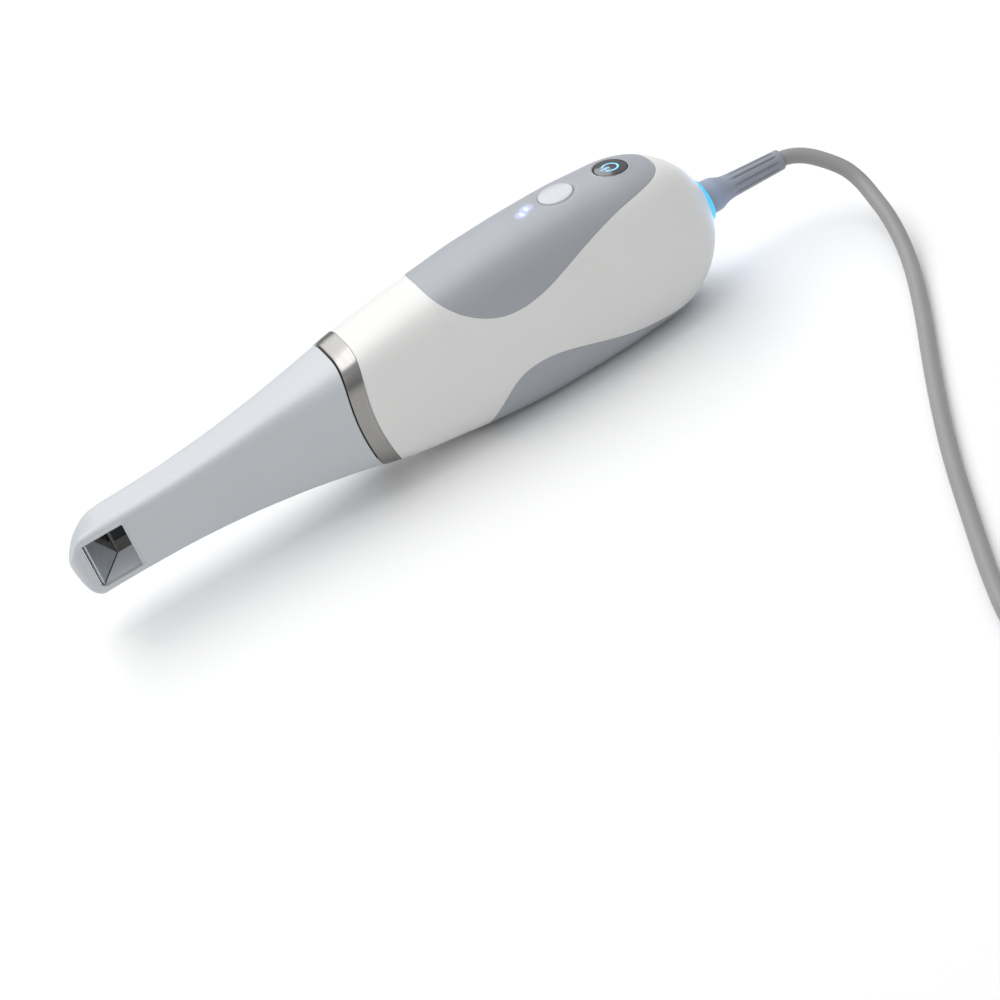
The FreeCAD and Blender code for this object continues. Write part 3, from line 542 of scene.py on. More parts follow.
def tip_mesh():
    g = Grid()
    D = [0.0, 0.04, 0.09, 0.15, 0.22, 0.3, 0.42, 0.56, 0.72, 0.9, 1.1, 1.35, 1.7]
    front = list(0.02 + 4.1 * np.linspace(0, 1, 34) ** 2)
    a = list(np.linspace(4.1, 4.8, 12)) + list(4.8 + np.array([0.02, 0.05, 0.1, 0.16, 0.23, 0.31, 0.4, 0.5, 0.62, 0.76, 0.95, 1.2, 1.5, 1.9, 2.4]))
    b = list(np.linspace(7.8, 17.4, 22)) + list(18.6 - np.array([1.0, 0.8, 0.62, 0.5, 0.4, 0.31, 0.23, 0.16, 0.1, 0.05, 0.02, 0.0]))
    c = list(18.6 + np.array([0.05, 0.12, 0.2, 0.3, 0.42, 0.56, 0.72, 0.9, 1.1, 1.4, 1.8, 2.4, 3.2, 4.2]))
    back_rows = list(np.linspace(24.0, 60.0, 26))
    xs = sorted(set(round(float(v), 4) for v in front + a + b + c + back_rows))
    rows, near, inwin = [], [], []
    for x in xs:
        lo, hi = window_limits(x)
        zlo, zhi = lo, hi
        if x < WX0:
            # in front of the window its outline keeps a constant share of the section
            zc, zc0 = float(fz(x)), float(fz(WX0))
            zhi = zc + (hi - zc0) * float(fh(x) * close(x, TOPN_R, TOPN_M)) / float(fh(WX0) * close(WX0, TOPN_R, TOPN_M))
            zlo = zc + (lo - zc0) * float(fh(x) * close(x, BOT_R, BOT_M)) / float(fh(WX0) * close(WX0, BOT_R, BOT_M))
        top = angle_at_z(x, zhi, -1)
        bot = angle_at_z(x, zlo, -1)
        # long way round: from the window's upper edge over the top and far side to its lower edge
        ph = spread(x, top, bot - 2 * math.pi, D, 110)
        rows.append(rim_lift(xyz(np.full(len(ph), x), ph)))
        ph2 = spread(x, bot, top, D, 26)
        near.append(rim_lift(xyz(np.full(len(ph2), x), ph2)))
        inwin.append(WX0 < x < WX1)
    g.add(np.array(rows))
    # near side in front of and behind the window
    k0 = [i for i, x in enumerate(xs) if x <= WX0 + 1e-6]
    k1 = [i for i, x in enumerate(xs) if x >= WX1 - 1e-6]
    g.add(np.array([near[i] for i in k0]))
    g.add(np.array([near[i] for i in k1]))
    # nose cap: close the first row onto a point
    allring = np.vstack([rows[0], near[0][1:-1]])
    o = g.add(np.array([allring]))
    cpt = len(g.v)
    g.v.append([0.0, float(allring[:, 1].mean()), float(allring[:, 2].mean())])
    nn = len(allring)
    for j in range(nn):
        g.f.append((o + j, o + (j + 1) % nn, cpt))
    # window's wall: from the outline inwards
    loop = []
    wi = [i for i, x in enumerate(xs) if WX0 - 1e-6 <= x <= WX1 + 1e-6]
    for i in wi:
        loop.append(rows[i][0])
    loop += [p for p in near[k1[0]][::-1][1:-1]]
    for i in wi[::-1]:
        loop.append(rows[i][-1])
    loop += [p for p in near[k0[-1]][1:-1]]
    loop = np.array(loop)
    L2, L3 = loop.copy(), loop.copy()
    L2[:, 1] = loop[:, 1] + 0.12
    L3[:, 1] = np.where(loop[:, 1] < -3, -6.55, loop[:, 1])
    g.add(np.array([loop, L2, L3]), closed=True)
    # rear part, rows leaning into the bow
    x0 = xs[-1]
    lo, hi = window_limits(x0)
    top, bot = angle_at_z(x0, hi, -1), angle_at_z(x0, lo, -1)
    phA = spread(x0, top, bot - 2 * math.pi, D, 110)
    phB = spread(x0, bot, top, D, 26)
    phis = np.concatenate([phA, phB[1:-1] - 2 * math.pi])
    edge = TIP_BACK - TIP_GAP
    R = 0.3
    us = list(np.linspace(x0, 92.0, 40)) + list(edge - np.array([1.3, 1.0, 0.75, 0.55, 0.42, R]))
    offs = [0.0] * len(us)
    for t in np.linspace(0, math.pi / 2, 8)[1:]:
        us.append(edge - R + R * math.sin(t))
        offs.append(R - R * math.cos(t))
    us += [edge] * 2 + [edge - 0.02, edge - 0.3, edge - 2.0, edge - 8.0, 78.0, 66.0, 52.0, 40.0, 30.0]
    offs += [0.7, TIP_WALL - 0.08, TIP_WALL] + [TIP_WALL] * 8
    g.add(band_points(us, phis, edge, BOW_F, 60.0, offs), closed=True)
    return g


def tip_channel(g):
    """Inside of the light channel: floor, ceiling, far wall, mirror seat, and the step to the wider passage."""
    MX, MY = MIR_A
    MX2 = MIR_B[0]

    def quad(a, b, c, d, n=12, m_=12):
        a, b, c, d = map(np.array, (a, b, c, d))
        rows = []
        for i in range(n + 1):
            t = i / n
            p, q = a + (d - a) * t, b + (c - b) * t
            rows.append([p + (q - p) * (j / m_) for j in range(m_ + 1)])
        g.add(np.array(rows))
    z0, z1 = WZ0 - 0.03, WZ1 + 0.03
    yin = -6.52
    # floor and ceiling, with the mirror seat's slanted end
    for z in (z0, z1):
        quad((MX, MY, z), (WX1 + 0.02, yin - 0.8, z), (WX1 + 0.02, FAR_WALL_Y, z), (MX2, FAR_WALL_Y, z))
        quad((WX1, yin, z), (30.0, yin, z), (30.0, FAR_WALL_Y, z), (WX1, FAR_WALL_Y, z))
    quad((MX2, FAR_WALL_Y, z0), (30.0, FAR_WALL_Y, z0), (30.0, FAR_WALL_Y, z1), (MX2, FAR_WALL_Y, z1))
    quad((WX1, yin, z0), (30.0, yin, z0), (30.0, yin, z1), (WX1, yin, z1))
    # narrow lands round the window, behind its wall
    quad((WX0 - 0.2, yin, z0), (WX0 - 0.2, yin, z1), (MX + 1.16, yin, z1), (MX + 1.16, yin, z0))
    cx, cy = -1.1 * MIR_N[0], -1.1 * MIR_N[1]
    quad((MX + cx, MY + cy, z0), (MX2 + cx, FAR_WALL_Y + cy, z0), (MX2 + cx, FAR_WALL_Y + cy, z1), (MX + cx, MY + cy, z1))
    # step: section at x = 30 down to the channel's rectangle
    n = 96
    ph = np.linspace(0, 2 * math.pi, n + 1)[:-1]
    outer = xyz(np.full(n, 30.0), ph, TIP_WALL)
    yc, zc = (yin + FAR_WALL_Y) / 2, (z0 + z1) / 2
    hw, hh = (FAR_WALL_Y - yin) / 2, (z1 - z0) / 2
    inner = []
    for p in ph:
        k = 1 / max(abs(math.cos(p)) / hw, abs(math.sin(p)) / hh)
        inner.append((30.0, yc + k * math.cos(p), zc + k * math.sin(p)))
    g.add(np.array([outer, inner]), closed=True)


g = tip_mesh()
tip = mesh_object("tip_shell", g.v, g.f, TIP, sharp=40)


def soften_front(ob, x0=2.4, x1=4.2, rounds=30):
    """Ease the fold where the front's top and side roundings meet, with little shrinking."""
    me = ob.data
    n = len(me.vertices)
    co = np.empty(n * 3)
    me.vertices.foreach_get("co", co)
    co = co.reshape(-1, 3)
    ed = np.empty(len(me.edges) * 2, dtype=np.int64)
    me.edges.foreach_get("vertices", ed)
    ed = ed.reshape(-1, 2)
    ax = (np.array([ob.matrix_world @ Vector(c) for c in co])[:, 0] * 1000 + RELIEF_END / 2)
    wgt = np.clip((x1 - ax) / (x1 - x0), 0, 1)
    wgt = (wgt * wgt * (3 - 2 * wgt))[:, None]
    deg = np.bincount(ed.ravel(), minlength=n)[:, None].clip(1)
    for i in range(rounds):
        for k in (0.5, -0.3):
            acc = np.zeros_like(co)
            for c in range(3):
                acc[:, c] = np.bincount(ed[:, 0], co[ed[:, 1], c], n) + np.bincount(ed[:, 1], co[ed[:, 0], c], n)
            co = co + k * wgt * (acc / deg - co)
    me.vertices.foreach_set("co", co.ravel())
    me.update()


soften_front(tip)
g = Grid()
tip_channel(g)
channel = mesh_object("tip_channel", g.v, g.f, CHANNEL, sharp=30)


def gasket_mesh():
    """Thin dark bead round the mirror's face, its lower front corner cut off."""
    g = Grid()
    A, B = np.array(MIR_A), np.array(MIR_B)
    z0, z1 = WZ0 + 0.12, WZ1 - 0.12

    def at(s, z):
        p = A + (B - A) * s + np.array(MIR_N) * 0.06
        return (p[0], p[1], z)
    path = [at(0.012, z1), at(0.012, z0 + 1.7), at(0.085, z0), at(0.985, z0), at(0.985, z1), at(0.012, z1)]
    n = 8
    for p, q in zip(path, path[1:]):
        p, q = np.array(p), np.array(q)
        t = (q - p) / np.linalg.norm(q - p)
        a = np.cross(t, (*MIR_N, 0.0))
        b_ = np.cross(t, a)
        rows = []
        for e in (p - t * 0.06, p, q, q + t * 0.06):
            k = 0.6 if e is not p and e is not q else 1.0
            rows.append([e + k * 0.13 * (a * math.cos(2 * math.pi * i / n) + b_ * math.sin(2 * math.pi * i / n)) for i in range(n)])
        g.add(np.array(rows), closed=True)
    return g


g = gasket_mesh()
gasket = mesh_object("mirror_bead", g.v, g.f, SEAL)


def far_wall_sheet_mesh():
    """Dark brown-grey sheet over the far wall, partly its brownish tone and partly painted shade of the channel's
    inside, with a folded edge next to the mirror.
    """
    g = Grid()
    for (x0, x1, y0_, y1_, z0, z1) in ((14.75, 15.25, 5.12, 5.32, -7.25, 8.45), (15.2, 29.9, 5.365, 5.39, -7.28, 8.45)):
        prof = [(x0, y1_), (x0 + 0.05, y0_ + 0.06), (x0 + 0.12, y0_), ((x0 + x1) / 2, y0_), (x1 - 0.1, y0_), (x1, y1_)]
        rows = [[(x, y, z) for x, y in prof] for z in np.linspace(z0, z1, 24)]
        g.add(np.array(rows))
    return g


g = far_wall_sheet_mesh()
far_wall_sheet = mesh_object("far_wall_dark_sheet", g.v, g.f, FAR_WALL_DARK)

# ---------------------------------------------------------------------------
# collar ring
# ---------------------------------------------------------------------------


def collar_mesh():
    g = Grid()
    phis = ring_dirs(97.0, 220)
    R = 0.28
    proud = -0.12
    a, b = TIP_BACK, RING_BACK

    def row(u, off):
        f = (u - a) / (b - a)
        k = BOW_F + (BOW_R - BOW_F) * f
        ref = a + (b - a) * f
        h, zc = float(fh(ref)), float(fz(ref))
        x = np.full(len(phis), float(u))
        for _ in range(6):
            P = xyz(x, phis, off)
            x = u + k * ((P[:, 2] - zc) / h) ** 2
        return xyz(x, phis, off)
    rows = [row(a + 0.4, 2.1), row(a + 0.02, 2.0), row(a, 0.9)]
    for t in np.linspace(0, math.pi / 2, 8):
        rows.append(row(a + R - R * math.cos(t), proud + R - R * math.sin(t)))
    for u in np.linspace(a + R, b - R, 14)[1:-1]:
        s = (u - a - R) / (b - a - 2 * R)
        rows.append(row(u, proud - 0.05 * math.sin(math.pi * s)))
    for t in np.linspace(math.pi / 2, 0, 8):
        rows.append(row(b - R + R * math.cos(t), proud + R - R * math.sin(t)))
    rows += [row(b, 0.9), row(b - 0.02, 2.0), row(b - 0.4, 2.1)]
    g.add(np.array(rows), closed=True)
    return g


g = collar_mesh()
collar = mesh_object("collar_band", g.v, g.f, COLLAR)

# ---------------------------------------------------------------------------
# handle shell: white housing with grey top and bottom covers let into it
# ---------------------------------------------------------------------------
TOP_LINE = [(129.2, 31.0), (129.6, 27.4), (130.2, 25.2), (131.9, 22.1), (135.6, 17.8), (141.0, 13.7), (148.2, 10.8), (155.8, 10.5),
            (163.8, 12.2), (176.6, 16.7), (189.6, 20.3), (201.6, 21.9), (209.2, 22.2), (214.5, 22.4), (220.0, 22.5)]
BOT_LINE = [(129.2, -31.0), (129.6, -27.4), (130.4, -25.0), (132.5, -21.7), (138.2, -15.8), (144.9, -10.8), (152.1, -9.4), (158.0, -9.9),
            (166.0, -12.2), (178.0, -16.7), (190.0, -20.2), (201.6, -21.8), (209.2, -22.2), (214.5, -22.4), (220.0, -22.5)]


def natural_spline(pts, n=4000):
    """Chord-length cubic spline through the points, sampled."""
    P = np.array(pts, float)
    d = np.concatenate([[0], np.cumsum(np.linalg.norm(np.diff(P, axis=0), axis=1))])
    N = len(P)
    h = np.diff(d)
    A = np.zeros((N, N))
    rhs = np.zeros((N, 2))
    A[0, 0] = A[-1, -1] = 1.0
    for i in range(1, N - 1):
        A[i, i - 1], A[i, i], A[i, i + 1] = h[i - 1], 2 * (h[i - 1] + h[i]), h[i]
        rhs[i] = 6 * ((P[i + 1] - P[i]) / h[i] - (P[i] - P[i - 1]) / h[i - 1])
    M = np.linalg.solve(A, rhs)
    t = np.linspace(0, d[-1], n)
    i = np.clip(np.searchsorted(d, t, side="right") - 1, 0, N - 2)
    a, b2 = d[i + 1] - t, t - d[i]
    hh = h[i][:, None]
    a, b2 = a[:, None], b2[:, None]
    return (M[i] * a ** 3 + M[i + 1] * b2 ** 3) / (6 * hh) + (P[i] / hh - M[i] * hh / 6) * a + (P[i + 1] / hh - M[i + 1] * hh / 6) * b2


TOP_S, BOT_S = natural_spline(TOP_LINE), natural_spline(BOT_LINE)


def z_of(S, x):
    return np.interp(x, S[:, 0], S[:, 1])


def reach(S, top):
    """x range over which the line lies on the skin."""
    xs = np.linspace(129.3, 219.9, 9000)
    z = z_of(S, xs)
    _, _, z0, z1, _ = skin(xs)
    ok = (z < z1) if top else (z > z0)
    i = np.nonzero(ok)[0]
    return float(xs[i[0]]), float(xs[i[-1]])


TA, TB = reach(TOP_S, True)
BA, BB = reach(BOT_S, False)


def seam_cloud(S, a, b, top):
    pts = []
    xs = np.concatenate([a + (b - a) * 0.06 * np.linspace(0, 1, 900) ** 2, np.linspace(a + 0.06 * (b - a), b - 0.06 * (b - a), 2600), b - (b - a) * 0.06 * np.linspace(0, 1, 900)[::-1] ** 2])
    for x in xs:
        z = float(z_of(S, x))
        for side in (-1, 1):
            ph = angle_at_z(x, z, side)
            y, zz = point(x, ph)
            pts.append((x, float(y), float(zz)))
    # close the short front and rear runs across the middle
    out = []
    for side in (0, 1):
        P = np.array(pts[side::2])
        seg = np.linalg.norm(np.diff(P, axis=0), axis=1)
        d = np.concatenate([[0], np.cumsum(seg)])
        t = np.arange(0, d[-1], 0.035)
        out.append(np.stack([np.interp(t, d, P[:, k]) for k in range(3)], -1))
    P = np.vstack(out)
    tree = kdtree.KDTree(len(P))
    for i, p in enumerate(P):
        tree.insert(p, i)
    tree.balance()
    return tree


TOP_TREE, BOT_TREE = seam_cloud(TOP_S, TA, TB, True), seam_cloud(BOT_S, BA, BB, False)
SEAM_R = 0.2


def drop(P, ph, trees, r=SEAM_R):
    """Roll the surface down towards the seams; returns the points moved inwards."""
    off = np.zeros(len(P))
    for i, p in enumerate(P):
        d = min(t.find(p)[2] for t in trees)
        if d < r:
            off[i] = float(roll(d, r))
    return xyz(P[:, 0], ph, off)


def x_rows(a, b, step=0.9, lead=2.2, fine=0.03):
    """Stations from a to b, crowded at both ends."""
    e = lead * np.linspace(0, 1, 26) ** 2.1
    mid = np.linspace(a + lead, b - lead, max(4, int((b - a - 2 * lead) / step)))
    return np.concatenate([a + e, mid[1:-1], (b - e)[::-1]])


EDGE = [0.0, 0.02, 0.05, 0.09, 0.14, 0.2, 0.35, 0.6, 1.0]


def cover_mesh(S, a, b, top, trees, k):
    g = Grid()
    rows, skirt_l, skirt_r = [], [], []
    for x in x_rows(a, b):
        z = float(z_of(S, x))
        if top:
            p0, p1 = angle_at_z(x, z, 1), angle_at_z(x, z, -1)
        else:
            p0, p1 = angle_at_z(x, z, -1), angle_at_z(x, z, 1) + 2 * math.pi
        ph = spread(x, p0, p1, EDGE, k)
        P = xyz(np.full(len(ph), x), ph)
        rows.append(drop(P, ph, trees))
        for lst, q in ((skirt_l, ph[0]), (skirt_r, ph[-1])):
            lst.append([xyz(np.array([x]), np.array([q]), o)[0] for o in (SEAM_R, 0.7, 1.6)])
    g.add(np.array(rows))
    g.add(np.array(skirt_l))
    g.add(np.array(skirt_r))
    return g


def dome_x(y, z, lo=200.0, hi=224.999):
    """x of the rear dome over the point (y, z)."""
    y, z = np.asarray(y, float), np.asarray(z, float)
    a, b = np.full(y.shape, lo), np.full(y.shape, hi)
    for _ in range(40):
        mid = (a + b) / 2
        y0, y1, z0, z1, n = skin(mid)
        yc, zc, w, h = (y0 + y1) / 2, (z0 + z1) / 2, np.maximum((y1 - y0) / 2, 1e-6), np.maximum((z1 - z0) / 2, 1e-6)
        f = np.abs((y - yc) / w) ** n + np.abs((z - zc) / h) ** n
        inside = f < 1
        a = np.where(inside, mid, a)
        b = np.where(inside, b, mid)
    return (a + b) / 2


HOLE_R = 7.15


def housing_mesh():
    g = Grid()
    K = 46
    DOME_ROW = 216.0
    mains = sorted(set([round(float(v), 4) for v in list(np.linspace(103.0, 128.6, 26)) + list(x_rows(TA, TB)) + list(x_rows(BA, BB))
                        + list(TA - np.array([0.02, 0.05, 0.1, 0.16, 0.25, 0.4, 0.7, 1.1])) + list(TB + np.array([0.02, 0.05, 0.1, 0.16, 0.25, 0.4, 0.7, 1.1]))
                        + list(BA - np.array([0.02, 0.05, 0.1, 0.16, 0.25, 0.4])) + list(BB + np.array([0.02, 0.05, 0.1, 0.16, 0.25, 0.4]))
                        + [214.6, 215.3]]))
    mains = [x for x in mains if 103.0 <= x < DOME_ROW - 0.3] + [DOME_ROW]
    for side in (-1, 1):
        rows, sk_t, sk_b, tx, bx = [], [], [], [], []
        for x in mains:
            zt, zb = float(z_of(TOP_S, x)), float(z_of(BOT_S, x))
            if not (TA <= x <= TB):
                pt = math.pi / 2
            else:
                pt = angle_at_z(x, zt, side)
            if not (BA <= x <= BB):
                pb = -math.pi / 2 if side > 0 else 3 * math.pi / 2
            else:
                pb = angle_at_z(x, zb, side)
            ph = spread(x, pt, pb, EDGE, K)
            P = xyz(np.full(len(ph), x), ph)
            rows.append(drop(P, ph, (TOP_TREE, BOT_TREE)))
            if TA <= x <= TB:
                sk_t.append([xyz(np.array([x]), np.array([pt]), o)[0] for o in (SEAM_R, 0.7, 1.6)])
            if BA <= x <= BB:
                sk_b.append([xyz(np.array([x]), np.array([pb]), o)[0] for o in (SEAM_R, 0.7, 1.6)])
        g.add(np.array(rows))
        g.add(np.array(sk_t))
        g.add(np.array(sk_b))
        # front: rows leaning into the collar's bow
        x0 = mains[0]
        ph = spread(x0, math.pi / 2, -math.pi / 2 if side > 0 else 3 * math.pi / 2, EDGE, K)
        R = 0.22
        us = [RING_BACK] * 3
        offs = [2.0, 1.2, 0.6]
        for t in np.linspace(0, math.pi / 2, 7):
            us.append(RING_BACK + R - R * math.cos(t))
            offs.append(R - R * math.sin(t))
        us += [RING_BACK + 0.35, RING_BACK + 0.6, RING_BACK + 1.0, RING_BACK + 1.8, x0 - 1.0, x0]
        offs += [0.0] * 6
        # the bow fades over the first part of the housing
        rows = []
        h, zc = float(fh(RING_BACK)), float(fz(RING_BACK))
        for u, o in zip(us, offs):
            x = np.full(len(ph), float(u))
            for _ in range(6):
                P = xyz(x, ph, o)
                bow = BOW_R * ((P[:, 2] - zc) / h) ** 2
                f = np.clip((u - RING_BACK) / (x0 - RING_BACK), 0, 1)
                x = u + bow * (1 - f)
            rows.append(xyz(x, ph, o))
        g.add(np.array(rows))
        # rear dome down to the light ring's bore
        ph = spread(DOME_ROW, math.pi / 2, -math.pi / 2 if side > 0 else 3 * math.pi / 2, EDGE, K)
        y, z = point(np.full(len(ph), DOME_ROW), ph)
        y0, y1, z0, z1, n = [float(v) for v in skin(DOME_ROW)]
        ang = np.arctan2(z - (z0 + z1) / 2, y - (y0 + y1) / 2)
        cy, cz = HOLE_R * np.cos(ang), HOLE_R * np.sin(ang)
        rows = []
        for t in np.linspace(0, 1, 26) ** 0.8:
            yy, zz = y + (cy - y) * t, z + (cz - z) * t
            rows.append(np.stack([dome_x(yy, zz) if t > 0 else np.full(len(ph), DOME_ROW), yy, zz], -1))
        last = rows[-1]
        for t in np.linspace(0, math.pi / 2, 6)[1:]:
            r = HOLE_R + 0.0
            s = (HOLE_R - 0.18 * math.sin(t)) / HOLE_R
            q = last.copy()
            q[:, 0] = last[:, 0] - 0.18 * (1 - math.cos(t))
            q[:, 1] *= s
            q[:, 2] *= s
            rows.append(q)
        q = rows[-1].copy()
        q[:, 0] = 218.5
        rows.append(q)
        g.add(np.array(rows))
    return g


g = housing_mesh()
housing = mesh_object("white_housing", g.v, g.f, WHITE)
g = cover_mesh(BOT_S, BA, BB, False, (BOT_TREE,), 60)
belly = mesh_object("belly_cover", g.v, g.f, GREY)

# ---------------------------------------------------------------------------
# top cover: a fitted sheet with holes for the buttons and the indicators
# ---------------------------------------------------------------------------
SCAN_X, SCAN_R = 181.1, 5.7
POWER_X, POWER_A, POWER_B = 200.2, 5.2, 5.8
LEDS = [(168.7, -0.75), (171.0, 0.75)]
LED_A, LED_B = 0.55, 0.75


def top_z(x, y, off=0.0):
    """Height of the skin's top over (x, y)."""
    x, y = np.asarray(x, float), np.asarray(y, float)
    y0, y1, z0, z1, n = skin(x)
    w, h, zc = (y1 - y0) / 2 - off, (z1 - z0) / 2 - off, (z0 + z1) / 2
    return zc + h * np.maximum(0.0, 1 - np.abs(y / w) ** n) ** (1 / n)


def hole_dist(x, y):
    """Signed distance to the nearest hole's edge (positive outside), and which hole."""
    ds = [(math.hypot(x - SCAN_X, y) - (SCAN_R + 0.08), 0),
          ((math.hypot((x - POWER_X) / POWER_A, y / POWER_B) - 1) * (POWER_A + POWER_B) / 2 - 0.17, 1)]
    for k, (lx, ly) in enumerate(LEDS):
        dy = max(0.0, abs(y - ly) - LED_B)
        ds.append((math.hypot(x - lx, dy) - (LED_A + 0.03), 2 + k))
    return min(ds)


def hole_loops():
    """Rings of points round each hole, from its edge outwards."""
    out = []
    spec = [(SCAN_X, 0.0, SCAN_R + 0.08, SCAN_R + 0.08, 0, 96, [0, .04, .09, .15, .22, .3, .42, .6, .9, 1.3]),
            (POWER_X, 0.0, POWER_A + 0.17, POWER_B + 0.17, 0, 96, [0, .04, .09, .15, .22, .3, .42, .6, .9, 1.3])]
    for k, (lx, ly) in enumerate(LEDS):
        spec.append((lx, ly, LED_A + 0.03, LED_A + 0.03, LED_B, 40, [0, .03, .07, .12, .2, .35]))
    for cx, cy, a, b_, s, n, ds in spec:
        rings = []
        for d in ds:
            ring = []
            for i in range(n):
                t = 2 * math.pi * (i + 0.5) / n
                c, q = math.cos(t), math.sin(t)
                ring.append((cx + (a + d) * c, cy + (b_ + d) * q + (math.copysign(s, q))))
            rings.append(ring)
        out.append(rings)
    return out


def button_rim(d, kind):
    """Drop and raise of the cover near a hole: a soft roll, and round the buttons a shallow dished halo."""
    r = 0.3 if kind < 2 else 0.12
    v = float(roll(max(d, 0), r))
    if kind == 0 and d < 1.6:
        v += 0.16 * math.exp(-((d - 0.62) / 0.42) ** 2)
    if kind == 1 and d < 1.6:
        v -= 0.16 * math.exp(-((d - 0.55) / 0.4) ** 2)
    return v


from mathutils.geometry import delaunay_2d_cdt


def top_cover_mesh():
    """The strip between x = 158 and x = 208 near the middle is triangulated round the holes; the rest is a plain grid."""
    X0, X1, YW = 163.0, 208.6, 8.6
    g = Grid()
    cols_mid = 0
    rows, skl, skr = [], [], []
    xs = list(x_rows(TA, TB))
    xs = sorted(set([round(float(v), 4) for v in xs] + [X0, X1]))
    left, right_, full = [], [], []
    segs = {"a": [], "m": [], "b": []}
    border_y = {}
    for x in xs:
        z = float(z_of(TOP_S, x))
        p0, p1 = angle_at_z(x, z, 1), angle_at_z(x, z, -1)
        y0_, y1_, z0_, z1_, n_ = [float(v) for v in skin(x)]
        zc_ = (z0_ + z1_) / 2
        ys = float(point(x, p0)[0])
        yw = min(YW, 0.55 * ys) if ys > 1e-6 else 0.0
        pl = math.atan2(float(top_z(x, yw)) - zc_, yw)
        pr = math.atan2(float(top_z(x, yw)) - zc_, -yw)
        phl = spread(x, p0, pl, EDGE, 14)
        phm = spread(x, pl, pr, [0.0], 40)
        phr = spread(x, pr, p1, EDGE, 14)
        ph = np.concatenate([phl, phm[1:-1], phr])
        row = drop(xyz(np.full(len(ph), x), ph), ph, (TOP_TREE,))
        nl, nm = len(phl), len(phm) - 2
        if X0 <= x <= X1:
            left.append(row[:nl])
            right_.append(row[nl + nm:])
        if x <= X0:
            segs["a"].append(row)
        if x >= X1:
            segs["b"].append(row)
        if x in (X0, X1):
            border_y[x] = [float(v) for v in row[nl - 1:nl + nm + 1, 1]]
        skl.append([xyz(np.array([x]), np.array([p0]), o)[0] for o in (SEAM_R, 0.7, 1.6)])
        skr.append([xyz(np.array([x]), np.array([p1]), o)[0] for o in (SEAM_R, 0.7, 1.6)])
    for rws in (segs["a"], segs["b"], left, right_, skl, skr):
        g.add(np.array(rws))
    # middle field
    pts, edges = [], []
    mids = [x for x in xs if X0 <= x <= X1]

    def add_pt(p):
        pts.append(Vector(p))
        return len(pts) - 1

    def add_chain(ch, closed=True):
        ids = [add_pt(p) for p in ch]
        for i in range(len(ids) - (0 if closed else 1)):
            edges.append((ids[i], ids[(i + 1) % len(ids)]))
    border = [(x, -YW) for x in mids]
    border += [(X1, y) for y in border_y[X1][::-1][1:-1]]
    border += [(x, YW) for x in mids[::-1]]
    border += [(X0, y) for y in border_y[X0][1:-1]]
    add_chain(border)
    for rings in hole_loops():
        for ring in rings:
            add_chain(ring)
    step = 0.62
    nx, ny = int((X1 - X0) / step), int(2 * YW / step)
    for i in range(1, nx):
        for j in range(1, ny):
            x, y = X0 + (X1 - X0) * i / nx, -YW + 2 * YW * j / ny
            d, k = hole_dist(x, y)
            if d > (1.6 if k < 2 else 0.55):
                pts.append(Vector((x, y)))
    vo, eo, fo, _, _, _ = delaunay_2d_cdt(pts, edges, [], 0, 1e-5)
    o = len(g.v)
    for p in vo:
        d, k = hole_dist(p.x, p.y)
        zz = float(top_z(p.x, p.y))
        if d < 1.7:
            zz -= button_rim(d, k)
        g.v.append([p.x, p.y, zz])
    for f in fo:
        c = sum((vo[i] for i in f), Vector((0, 0))) / len(f)
        d, k = hole_dist(c.x, c.y)
        if d > -0.004 and X0 <= c.x <= X1 and abs(c.y) <= YW:
            g.f.append(tuple(o + i for i in f))
    # walls of the holes
    for kind, rings in enumerate(hole_loops()):
        ring = rings[0]
        top = np.array([[x, y, float(top_z(x, y)) - button_rim(0.0, kind)] for x, y in ring])
        low = top.copy()
        low[:, 2] -= 1.6
        mid = top.copy()
        mid[:, 2] -= 0.5
        g.add(np.array([top, mid, low]), closed=True)
    return g


g = top_cover_mesh()
top_cover = mesh_object("top_cover_skin", g.v, g.f, GREY)

# grey cover with a painted glow round the indicators: emission standing in for their light showing faintly through the
# plastic
GREYG = GREY.copy()
GREYG.name = "mat_grey_cover_lit"
nt = GREYG.node_tree
bs = [n for n in nt.nodes if n.type == "BSDF_PRINCIPLED"][0]
geo = nt.nodes.new("ShaderNodeTexCoord")
acc = None
for lx, ly in LEDS:
    lz = float(top_z(lx, ly))
    dn = nt.nodes.new("ShaderNodeVectorMath")
    dn.operation = "DISTANCE"
    nt.links.new(geo.outputs["Object"], dn.inputs[0])
    dn.inputs[1].default_value = W((lx, ly, lz))
    mr = nt.nodes.new("ShaderNodeMapRange")
    mr.interpolation_type = "SMOOTHSTEP"
    mr.inputs["From Min"].default_value = 0.0009
    mr.inputs["From Max"].default_value = 0.0030
    mr.inputs["To Min"].default_value = 1.0
    mr.inputs["To Max"].default_value = 0.0
    nt.links.new(dn.outputs["Value"], mr.inputs["Value"])
    if acc is None:
        acc = mr.outputs[0]
    else:
        mx = nt.nodes.new("ShaderNodeMath")
        mx.operation = "MAXIMUM"
        nt.links.new(acc, mx.inputs[0])
        nt.links.new(mr.outputs[0], mx.inputs[1])
        acc = mx.outputs[0]
# strength of the painted glow round the indicators
em = nt.nodes.new("ShaderNodeMath")
em.operation = "MULTIPLY"
em.inputs[1].default_value = 0.55
nt.links.new(acc, em.inputs[0])
nt.links.new(em.outputs[0], bs.inputs["Emission Strength"])
bs.inputs["Emission Color"].default_value = (0.42, 0.38, 1.0, 1)
top_cover.data.materials[0] = GREYG

# ---------------------------------------------------------------------------
# buttons
# ---------------------------------------------------------------------------


